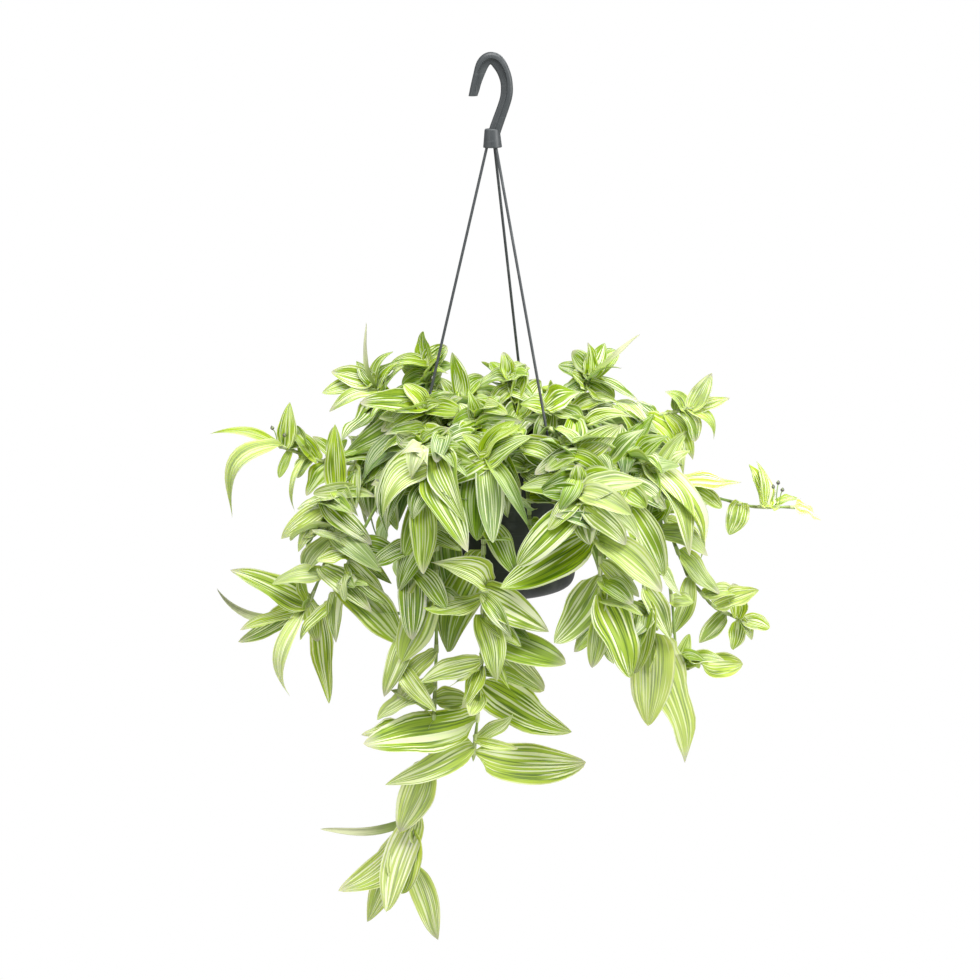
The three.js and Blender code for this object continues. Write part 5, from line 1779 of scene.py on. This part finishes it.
    def seen_leaf(self, stem: Stem, index: int, turn: int) -> Leaf:
        """A leaf read from the photograph; each try moves its tip in depth.

        Args:
            stem: The stem.
            index: Which of its leaves.
            turn: Which try.

        Returns:
            The leaf.
        """
        at, across, down, nearer, width, arch = stem.spots[index]
        before = sum(abs(other[0] - at) < self.same_place for other in stem.spots[:index])
        place = at + stem.offset - self.leaf_spacing * before
        base = self.on_stalk(stem.points, place)
        tip = VIEW.seen(across, down, base[1] + nearer + self.tip_shifts[turn])
        seed = self.seed_of(stem, index)
        side = self.upper_side(base, 0.4, 0.9)
        return Leaf(base, tip, side, width, arch, spread(seed, 7, -16, 16), seed, place)

    def ruled_leaf(self, stem: Stem, index: int, turn: int) -> Leaf:
        """A leaf set by the rule: alternate, leaning along the stem; each try swings it about Z.

        Args:
            stem: The stem.
            index: Which of its leaves.
            turn: Which try.

        Returns:
            The leaf.
        """
        seed = self.seed_of(stem, index)
        last = len(stem.points) - 1
        start = stem.offset * 0.8
        at = start + (last - start) * (index + 0.7) / (stem.count - 0.3)
        base = self.on_stalk(stem.points, at)
        run = self.run_at(stem, base, at)
        side = self.upper_side(base, 0.7, 0)
        beside = unit(np.cross(run, side))
        is_last = index == stem.count - 1
        lean = 0.15 if is_last else spread(seed, 1, 0.6, 0.9)
        sign = 1 if index % 2 == 0 else -1
        heading = run * spread(seed, 2, 0.35, 0.7) + beside * sign * lean
        heading = heading + side * spread(seed, 3, 0.05, 0.4)
        heading = turned(unit(heading), UP, self.tip_swings[turn])
        length = self.leaf_length * spread(seed, 4, 0.72, 1.08) * (0.75 if is_last else 1)
        tip = base + heading * length - UP * length * spread(seed, 5, 0.05, 0.3)
        width, arch = spread(seed, 6, 0.85, 1.1), spread(seed, 8, 0.12, 0.35)
        return Leaf(base, tip, side, width, arch, spread(seed, 7, -34, 34), seed, at)

    def young_leaves(self, stem: Stem) -> list[Leaf]:
        """The curled pale and withered leaves that only the fine model has, read from the photograph.

        Args:
            stem: The stem.

        Returns:
            The leaves; most stems have none.
        """
        if stem.name not in YOUNG_SPOTS:
            return []
        foot, spots = YOUNG_SPOTS[stem.name]
        base, last = VIEW.seen(*foot), len(stem.points) - 1
        side = self.upper_side(base, 0.2, 1.4)
        leaves = []
        for i, (*tip, width, arch) in enumerate(spots):
            seed = self.seed_of(stem, self.young_seeds + i)
            leaves.append(Leaf(base, VIEW.seen(*tip), side, width, arch, 0.0, seed, last, True))
        return leaves

    def small_leaves(self, stem: Stem, crowd: np.ndarray) -> list[Leaf]:
        """Small leaves that only the fine model has, by rule, where leaves already lie close.

        Args:
            stem: The stem.
            crowd: Places on the midribs of all the solids' leaves.

        Returns:
            The small leaves.
        """
        leaves, last = [], len(stem.points) - 1
        for index in range(self.small_tries):
            seed = self.seed_of(stem, self.small_seeds + index)
            at = spread(seed, 1, 0.35, 0.98) * last
            base = self.on_stalk(stem.points, at)
            run = self.run_at(stem, base, at)
            side = self.upper_side(base, 0.5, 0.5)
            beside = unit(np.cross(run, side)) * (1 if index % 2 == 0 else -1)
            heading = unit(
                run * spread(seed, 2, -0.1, 0.9) + beside * spread(seed, 3, 0.5, 1.0)
                + unit(side) * spread(seed, 4, 0.1, 0.7)
            )
            length = spread(seed, 5, *self.small_length)
            tip = base + heading * length - UP * length * spread(seed, 6, 0.0, 0.35)
            reach = np.stack([0.5 * (base + tip), tip])
            gaps = np.linalg.norm(crowd[None] - reach[:, None], axis=-1).min(axis=1)
            if gaps.max() < self.small_near:
                width, arch = spread(seed, 7, 0.7, 1.05), spread(seed, 8, 0.05, 0.4)
                leaves.append(Leaf(base, tip, side, width, arch, spread(seed, 9, -40, 40), seed, at))
        return leaves

    def blade_lines(self, leaf: Leaf, u: np.ndarray, twist: float = 0.0) -> tuple[np.ndarray, ...]:
        """The midrib and its frame: a cubic curve that rises from the stem and bends to the tip.

        The curve is (1-u)^3 start + 3u(1-u)^2 near + 3u^2(1-u) far + u^3 tip.

        Args:
            leaf: The leaf.
            u: Shares of the way from stem to tip.
            twist: Degrees by which the blade turns about its midrib on the way to its tip.

        Returns:
            At each share the middle, the way across, the way up and half the width, and the
            leaf's length.
        """
        chord = leaf.tip - leaf.base
        length = float(np.linalg.norm(chord))
        ahead = chord / length
        rise = unit(leaf.side - ahead * np.dot(leaf.side, ahead))
        start = leaf.base - ahead * self.leaf_sink * self.stem_radius
        lift = rise * leaf.arch * length
        near, far = start + chord * 0.33 + lift, start + chord * 0.67 + lift * 0.85
        u = np.asarray(u, dtype=float)[:, None]
        w = 1 - u
        middle = w ** 3 * start + 3 * u * w * w * near + 3 * u * u * w * far + u ** 3 * leaf.tip
        run = unit(w * w * (near - start) + 2 * u * w * (far - near) + u * u * (leaf.tip - far))
        up = unit(rise - run * dot(run, np.broadcast_to(rise, run.shape)))
        up = turned(up, run, leaf.roll + twist * u)
        across = np.cross(run, up)
        least, most = self.width_lengths
        widest = 0.5 * self.width_share * min(max(length, least), most) * leaf.width
        return middle, across, up, widest * solid_outline(u), length

    def blade_corners(self, leaf: Leaf) -> np.ndarray:
        """The corners that the leaf's solid has: edges and keel at each station, and the tip.

        Args:
            leaf: The leaf.

        Returns:
            The corners.
        """
        length = np.linalg.norm(leaf.tip - leaf.base)
        stations = self.small_stations if length * leaf.width < self.small_blade else self.stations
        middle, across, up, half, _ = self.blade_lines(leaf, np.array(stations))
        keel = np.maximum(self.keel_least, self.keel_share * half)
        return np.concatenate([
            middle - across * half + up * 0.5 * keel,
            middle + across * half + up * 0.5 * keel,
            middle - up * 0.5 * keel,
            leaf.tip[None],
        ])

    def stalk_ends(self, points: np.ndarray) -> np.ndarray:
        """Corners that a stalk's solid has: its pointed end, and its last bends' rings.

        Args:
            points: The points of the stalk's curve.

        Returns:
            The corners.
        """
        bends = self.bends(points)
        heading = unit(bends[-1] - bends[-2])
        middles = np.concatenate([
            bends[:1] - UP * (self.root_depth + self.root_rise), bends,
            bends[-1:] + heading * self.stem_point,
        ])
        sides, across = ring_frames(middles)
        rings = len(middles) - 1
        radii = self.stem_radius * (1 - self.taper * np.arange(rings) / rings)[:, None]
        corners = [middles[:-1] + sides[:-1] * radii, middles[:-1] - sides[:-1] * radii]
        corners += [middles[:-1] + across[:-1] * radii, middles[:-1] - across[:-1] * radii]
        return np.concatenate(corners + [middles[-1:]])

    def held(self, node: str) -> Callable[[np.ndarray], int]:
        """A test of how many places are corners of a node's solid.

        Args:
            node: The solid's name.

        Returns:
            The test.
        """
        solid = np.array([corner.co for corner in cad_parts[node].data.vertices]) / MM

        def count(places: np.ndarray) -> int:
            """How many of the places lie on a corner."""
            gaps = np.linalg.norm(solid[None] - places[:, None], axis=-1).min(axis=1)
            return int(np.sum(gaps < self.corner_gap))

        return count

    def grow(self) -> list[Stem]:
        """Every stem that has a solid, with the points and leaves that its solid holds.

        Returns:
            The stems with their leaves.
        """
        grown = []
        for stem in self.stems():
            if stem.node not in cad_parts:
                continue
            held = self.held(stem.node)
            tries = [self.shifted(stem, shift) for shift in self.stem_shifts]
            scores = [held(self.stalk_ends(points)) for points, _ in tries]
            stem.points, stem.offset = tries[int(np.argmax(scores))]
            maker = self.seen_leaf if stem.spots else self.ruled_leaf
            for index in range(len(stem.spots) or stem.count):
                leaves = [maker(stem, index, turn) for turn in range(len(self.tip_shifts))]
                scores = [held(self.blade_corners(leaf)) for leaf in leaves]
                if max(scores) >= 2:
                    stem.leaves.append(leaves[int(np.argmax(scores))])
            grown.append(stem)
            log.info("%s: %d leaves", stem.node, len(stem.leaves))
        share = np.linspace(0.2, 1, 6)
        crowd = [self.blade_lines(leaf, share)[0] for stem in grown for leaf in stem.leaves]
        for stem in grown:
            stem.leaves += self.small_leaves(stem, np.concatenate(crowd)) + self.young_leaves(stem)
        log.info("leaves in all: %d", sum(len(stem.leaves) for stem in grown))
        return grown


# Plant: the fine stems and leaves


@dataclass
class FineStem:
    """The visible leafy stem: a round jointed stalk with sheaths, and waved, folded blades."""

    plan: PlantPlan
    stem: Stem
    rings: int = 15
    strips: int = 6
    thickness: float = 0.5
    stalk_sides: int = 10
    stalk_step: float = 3.0
    stalk_fullness: float = 1.02
    stalk_point: float = 0.6
    joint_swell: float = 0.45
    joint_spread: float = 2.5
    map_length: float = 100.0
    sheath_length: float = 7.0
    sleeve_sides: int = 8
    wave_turn: float = 6.28
    sharp: float = 60.0
    dry_width: float = 0.3
    sickle_arch: float = 0.33
    bud_length: float = 4.4
    bud_radius: float = 1.7

    def strip_maps(
        self, rows: np.ndarray, loop: np.ndarray, leaf: Sides, tone: Sides,
    ) -> dict[str, Sides]:
        """The three maps of a blade or a sheath."""
        return {"blade": both_sides(rows[:, None], loop[None, :]), "leaf": leaf, "tone": tone}

    def flat_map(self, shape: tuple[int, int], first: Union[float, np.ndarray],
                 second: Union[float, np.ndarray]) -> Sides:
        """A map whose numbers are the same on both sides of each strip."""
        values = np.stack([np.broadcast_to(first, shape), np.broadcast_to(second, shape)], axis=-1)
        return values.astype(float), values.astype(float)

    def blade(self, leaf: Leaf) -> Shell:
        """One blade, a grid of u along and v across, from -1 to 1.

        A point is middle + across (half v + bow sin(pi u)^1.5) + up (sway sin(2 pi u) + fold |v|^1.4
        - keel / 2 + wave v^2 sin(k u + phase) + clasp |v|). The underside lies below that by a
        thickness that thins out to the edges.

        Args:
            leaf: The leaf.

        Returns:
            The closed blade.
        """
        share = np.linspace(0, 1, self.rings + 2)
        u = 0.45 * share + 0.55 * (0.5 - 0.5 * np.cos(np.pi * share))
        inner = u[1:-1]
        dry = leaf.width < self.dry_width
        seed = leaf.seed
        twist = spread(seed, 11, -34, 34)
        middle, across, up, half, length = self.plan.blade_lines(leaf, inner, twist)
        half = half * self.outline(leaf, inner)[:, None]
        bow = length * spread(seed, 34, -0.05, 0.05)
        middle = middle + across * (bow * np.sin(np.pi * inner) ** 1.5)[:, None]
        sway = length * spread(seed, 35, -0.03, 0.03)
        middle = middle + up * (sway * np.sin(2 * np.pi * inner))[:, None]
        v = np.linspace(-1, 1, self.strips + 1)[None, :]
        row = inner[:, None]
        keel = np.maximum(self.plan.keel_least, self.plan.keel_share * half)
        fold = half * (0.5 if dry else spread(seed, 12, -0.05, 0.62))
        wave = half * spread(seed, 13, 0.08, 0.32) * np.sin(np.pi * row)
        turns = 2 * np.pi * spread(seed, 14, 0.8, 2.2)
        phase = self.wave_turn * chance(seed, 15) + np.where(v > 0, spread(seed, 16, 0.5, 2.6), 0.0)
        clasp = half * 1.1 * (1 - smooth_step(0.0, 0.16, row))
        height = fold * np.abs(v) ** 1.4 - 0.5 * keel + clasp * np.abs(v)
        height = height + wave * v * v * np.sin(turns * row + phase)
        upper = middle[:, None] + across[:, None] * (half * v)[..., None]
        upper = upper + up[:, None] * height[..., None]
        deep = self.thickness * (1 - v[:, 1:-1] ** 4) * (1.1 - 0.5 * row)
        lower = upper[:, 1:-1] - up[:, None] * deep[..., None]
        rings = np.concatenate([upper, lower[:, ::-1]], axis=1)
        ends = np.stack([self.foot(leaf), leaf.tip])
        loop = np.concatenate([(v[0] + 1) / 2, (v[0, -2::-1] + 1) / 2])
        shape = (self.rings + 2, 2 * self.strips)
        under = (np.arange(2 * self.strips) >= self.strips).astype(float)[None, :]
        pale, golden_and_painted_backlight = self.tone(leaf)
        maps = self.strip_maps(
            u, loop, self.flat_map(shape, chance(seed, 17), under), self.flat_map(shape, pale, golden_and_painted_backlight)
        )
        return closed_grid(rings, Finish.DRY if dry else Finish.LEAF, ends, maps, paired=True)

    def outline(self, leaf: Leaf, u: np.ndarray) -> np.ndarray:
        """How many times as wide as its solid a blade is: its own u^p (1-u)^q over the solid's.

        Args:
            leaf: The leaf.
            u: Shares of the way from stem to tip.

        Returns:
            The factor at each share.
        """
        p, q = spread(leaf.seed, 31, 0.36, 0.58), spread(leaf.seed, 32, 0.56, 0.92)
        if leaf.arch > self.sickle_arch:
            p, q = 0.7, 1.4
        peak = p / (p + q)
        own = u ** p * (1 - u) ** q / (peak ** p * (1 - peak) ** q)
        fuller = spread(leaf.seed, 33, 1.06, 1.22) - 0.16 * smooth_step(1.1, 1.5, leaf.width)
        return own / solid_outline(u) * fuller

    def foot(self, leaf: Leaf) -> np.ndarray:
        """Where a blade starts, inside its stalk."""
        return leaf.base - unit(leaf.tip - leaf.base) * self.plan.leaf_sink * self.plan.stem_radius

    def tone(self, leaf: Leaf) -> tuple[float, float]:
        """How pale and how yellow a leaf is, with painted light in both: outer, low and high leaves
        take a painted backlight glow, and outer and low ones are painted paler.

        Args:
            leaf: The leaf.

        Returns:
            Both, from 0 to 1.
        """
        seed, tip = leaf.seed, leaf.tip
        outer = float(smooth_step(100.0, 230.0, np.hypot(tip[0], tip[1])))
        low = float(smooth_step(-400.0, -600.0, tip[2]))
        high = float(smooth_step(-335.0, -270.0, tip[2]))
        # Young leaves are really pale; on the other leaves paleness is painted light on outer and low
        # ones
        pale = spread(seed, 18, 0.25, 0.5) if leaf.young else 0.3 * max(outer, low) * chance(seed, 18)
        # lit is painted backlight: how much light shines through a leaf at its place, added to its
        # random yellow tone
        lit = max(0.75 * outer, 0.95 * low, 0.45 * high)
        golden_and_painted_backlight = 0.45 * chance(seed, 19) ** 2 + lit * spread(seed, 20, 0.5, 1.0)
        return pale, min(golden_and_painted_backlight, 1.0)

    def stalk_line(self) -> np.ndarray:
        """The stalk's axis in short steps, its bends rounded by a moving mean.

        Returns:
            The axis.
        """
        bends = self.plan.bends(self.stem.points)
        depth = self.plan.root_depth + self.plan.root_rise
        bends = np.concatenate([bends[:1] - UP * depth, bends])
        reach = np.concatenate([[0], np.cumsum(np.linalg.norm(np.diff(bends, axis=0), axis=1))])
        at = np.linspace(0, reach[-1], max(8, int(reach[-1] / self.stalk_step)))
        line = np.stack([np.interp(at, reach, bends[:, k]) for k in range(3)], axis=-1)
        padded = np.concatenate([line[:1], line[:1], line, line[-1:], line[-1:]])
        kernel = np.array([1, 2, 3, 2, 1]) / 9
        soft = np.stack([np.convolve(padded[:, k], kernel, "valid") for k in range(3)], axis=-1)
        soft[[0, -1]] = line[[0, -1]]
        return soft

    def joints(self, line: np.ndarray) -> np.ndarray:
        """How far along the line each leaf's foot lies, in steps of the line.

        Args:
            line: The stalk's axis.

        Returns:
            A step for each leaf.
        """
        feet = np.array([leaf.base for leaf in self.stem.leaves])
        gaps = np.linalg.norm(line[None] - feet[:, None], axis=-1)
        return gaps.argmin(axis=1)

    def stalk(self, line: np.ndarray, joints: np.ndarray) -> Shell:
        """The round stalk, thinner towards its tip, with a swelling at each joint.

        The radius is radius (1 - taper share) + swell exp(-(distance / joint_spread)^2).

        Args:
            line: Its axis.
            joints: Steps of the axis at which leaves grow.

        Returns:
            The closed stalk.
        """
        count = len(line)
        share = np.linspace(0, 1, count)
        swell = self.joint_places(count, joints)
        radii = self.plan.stem_radius * (1 - self.plan.taper * share) * self.stalk_fullness
        radii = radii + self.joint_swell * swell
        radii[-1] *= self.stalk_point
        sides = self.stalk_sides
        rows = np.concatenate([share[:1], share, share[-1:]])
        rows = rows * count * self.stalk_step / self.map_length
        swell = np.concatenate([swell[:1], swell, swell[-1:]])
        loop = np.linspace(0, 1, sides + 1)
        draw = chance(self.stem.seed, 21)
        shape = (count + 2, sides)
        flat = self.flat_map(shape, 0.0, 0.0)
        maps = self.strip_maps(rows, loop, self.flat_map(shape, swell[:, None], draw), flat)
        return tube(line, radii, sides, Finish.STALK, maps)

    def joint_places(self, count: int, joints: np.ndarray) -> np.ndarray:
        """How near a joint each step of the axis lies, from 0 to 1.

        Args:
            count: The axis's steps.
            joints: Steps with a leaf.

        Returns:
            The nearness at each step.
        """
        back = joints - self.sheath_length / self.stalk_step
        gaps = np.abs(np.arange(count)[:, None] - back[None, :]).min(axis=1) * self.stalk_step
        return np.exp(-((gaps / self.joint_spread) ** 2))

    def sleeve(
        self, middles: np.ndarray, radii: np.ndarray, rows: np.ndarray,
        leaf: tuple[float, float], tone: tuple[float, float],
    ) -> Shell:
        """A round part in the leaves' finish.

        Args:
            middles: Its axis.
            radii: Its radius at each point of the axis.
            rows: The blade map's share along, for both ends and each point.
            leaf: The leaf map's two numbers.
            tone: The tone map's two numbers.

        Returns:
            The closed part.
        """
        shape = (len(rows), self.sleeve_sides)
        loop = np.linspace(0.1, 0.9, self.sleeve_sides + 1)
        maps = self.strip_maps(rows, loop, self.flat_map(shape, *leaf), self.flat_map(shape, *tone))
        return tube(middles, radii, self.sleeve_sides, Finish.LEAF, maps)

    def sheath(self, line: np.ndarray, joint: int, leaf: Leaf) -> Shell:
        """The thin sleeve that wraps the stalk from its joint up to the blade's foot.

        Args:
            line: The stalk's axis.
            joint: The step of the axis at which the blade grows.
            leaf: The leaf.

        Returns:
            The closed sleeve.
        """
        steps = max(2, int(self.sheath_length / self.stalk_step))
        first = max(joint - steps, 0)
        start, end = line[first], line[min(joint + 1, len(line) - 1)]
        share = np.linspace(0, 1, 6)
        middles = start + (end - start) * share[:, None]
        radius = self.plan.stem_radius * (1 - self.plan.taper * joint / len(line))
        radii = radius + 0.2 + np.array([0.0, 0.35, 0.4, 0.5, 0.62, 0.3])
        rows = np.concatenate([[0.02], 0.02 + 0.12 * share, [0.14]])
        return self.sleeve(middles, radii, rows, (chance(leaf.seed, 17), 0.5), (0.25, 0.3))

    def shoot(self, line: np.ndarray) -> Shell:
        """The rolled young leaf at the stalk's tip: a spindle with radius r sin(pi s^0.6).

        Args:
            line: The stalk's axis.

        Returns:
            The closed spindle.
        """
        heading = unit(line[-1] - line[-3])
        length = spread(self.stem.seed, 22, 9, 14)
        share = np.linspace(0.04, 0.97, 8)
        curl = np.array([spread(self.stem.seed, k, -1, 1) for k in (23, 24, 25)])
        middles = line[-1] + heading * (length * share - 2)[:, None]
        middles = middles + curl * (2.0 * share ** 2)[:, None]
        radii = 1.75 * np.sin(np.pi * share ** 0.6) + 0.12
        rows = np.concatenate([[0.1], 0.1 + 0.8 * share, [0.95]])
        return self.sleeve(middles, radii, rows, (chance(self.stem.seed, 26), 0.0), (0.2, 0.6))

    def bud(self, line: np.ndarray, spot: tuple[float, float, float]) -> list[Shell]:
        """A closed bud on its thin stalk, which leaves the stem at the nearest place.

        The bud's radius is r sin(pi s^0.8) over its length.

        Args:
            line: The stem's axis.
            spot: The bud's pixel and depth.

        Returns:
            The bud and its stalk.
        """
        place = VIEW.seen(*spot)
        start = line[np.linalg.norm(line - place, axis=1).argmin()]
        heading = unit(place - start)
        share = np.linspace(0, 1, 7)[:, None]
        bend = UP * 4.0 * np.sin(np.pi * share)
        stalk = tube(start + (place - start) * share + bend, np.full(7, 0.45), 6, Finish.STALK)
        at = np.linspace(0.03, 0.97, 8)
        middles = place + heading * (self.bud_length * at)[:, None]
        radii = self.bud_radius * np.sin(np.pi * at ** 0.8) + 0.1
        return [stalk, tube(middles, radii, 8, Finish.BUD)]

    def build(self) -> None:
        """Makes the stem's piece."""
        line = self.stalk_line()
        joints = self.joints(line)
        shells = [self.stalk(line, joints), self.shoot(line)]
        for joint, leaf in zip(joints, self.stem.leaves):
            shells.append(self.sheath(line, int(joint), leaf))
            shells.append(self.blade(leaf))
        for spot in BUD_SPOTS.get(self.stem.name, []):
            shells += self.bud(line, spot)
        piece = make_piece(f"leafy_{self.stem.name}", shells, self.sharp)
        hand_over(piece, "foliage", self.stem.node)


# Studio


@dataclass
class Studio:
    """A pale floor far below, a white surround and soft lights."""

    floor_drop: float = -1.6
    floor_size: float = 1.5
    floor_sides: int = 48
    backdrop: float = 1.0
    ambience: float = 0.46
    aim: tuple[float, float, float] = (0.0, 0.0, -0.4)

    def floor(self) -> None:
        """Makes the floor, a round sheet of rings."""
        radius = self.floor_size * np.array([0.25, 0.5, 0.75, 0.9, 1.0])
        angle = full_turn(self.floor_sides)
        x, y = radius[:, None] * np.cos(angle), radius[:, None] * np.sin(angle)
        rings = np.stack([x, y, np.full_like(x, self.floor_drop)], axis=-1)
        here = np.arange(rings[..., 0].size).reshape(rings.shape[:2])
        beside = np.roll(here, -1, axis=1)
        quads = np.stack([here[:-1], here[1:], beside[1:], beside[:-1]], axis=-1).reshape(-1, 4)
        mesh = bpy.data.meshes.new("studio_floor")
        mesh.from_pydata(rings.reshape(-1, 3).tolist(), [], [here[0].tolist()] + quads.tolist())
        mesh.materials.append(StudioWhite().material())
        add_object("studio_floor", mesh)

    def softbox(
        self, name: str, place: tuple[float, float, float], size: float, power: float,
    ) -> None:
        """One square soft light that looks at the middle of the object.

        Args:
            name: Its name.
            place: Where it stands, in metres.
            size: Its side, in metres.
            power: Its power, in watts.
        """
        data = bpy.data.lights.new(name, "AREA")
        data.size, data.energy = size, power
        back = unit(np.array(place) - np.array(self.aim))
        side = unit(np.cross(UP, back))
        light = add_object(name, data)
        light.matrix_world = standing((side, np.cross(back, side), back), place)

    def light(self) -> None:
        """Sets the white surround, the softboxes and the plain colour view."""
        world = bpy.data.worlds.new("white_surround")
        world.use_nodes = True
        tree = world.node_tree
        background = tree.nodes["Background"]
        background.inputs["Color"].default_value = (1, 1, 1, 1)
        strength = tree.nodes.new("ShaderNodeMapRange")
        strength.inputs["To Min"].default_value = self.ambience
        strength.inputs["To Max"].default_value = self.backdrop
        path = tree.nodes.new("ShaderNodeLightPath")
        tree.links.new(path.outputs["Is Camera Ray"], strength.inputs["Value"])
        tree.links.new(strength.outputs["Result"], background.inputs["Strength"])
        bpy.context.scene.world = world
        bpy.context.scene.view_settings.view_transform = "Standard"
        self.softbox("softbox_top", (0.1, -0.7, 1.3), 1.3, 47.0)
        self.softbox("softbox_left", (-1.7, -1.6, 0.3), 1.0, 12.0)
        self.softbox("softbox_right", (1.9, -0.9, 0.2), 1.0, 35.0)
        self.softbox("softbox_back", (0.8, 1.8, 0.9), 1.2, 24.0)


def main() -> None:
    """Builds the view, the pieces and the studio in order."""
    logging.basicConfig(level=logging.INFO, format="%(message)s")
    VIEW.set_camera()
    PALETTE.mix_all()
    pot = Pot()
    hanger = Hanger(pot)
    pot.build(hanger.azimuths.values())
    soil = Soil(pot)
    soil.build()
    hanger.build()
    plan = PlantPlan(pot, soil)
    for stem in plan.grow():
        FineStem(plan, stem).build()
    studio = Studio()
    studio.floor()
    studio.light()


if __name__ == "__main__":
    main()
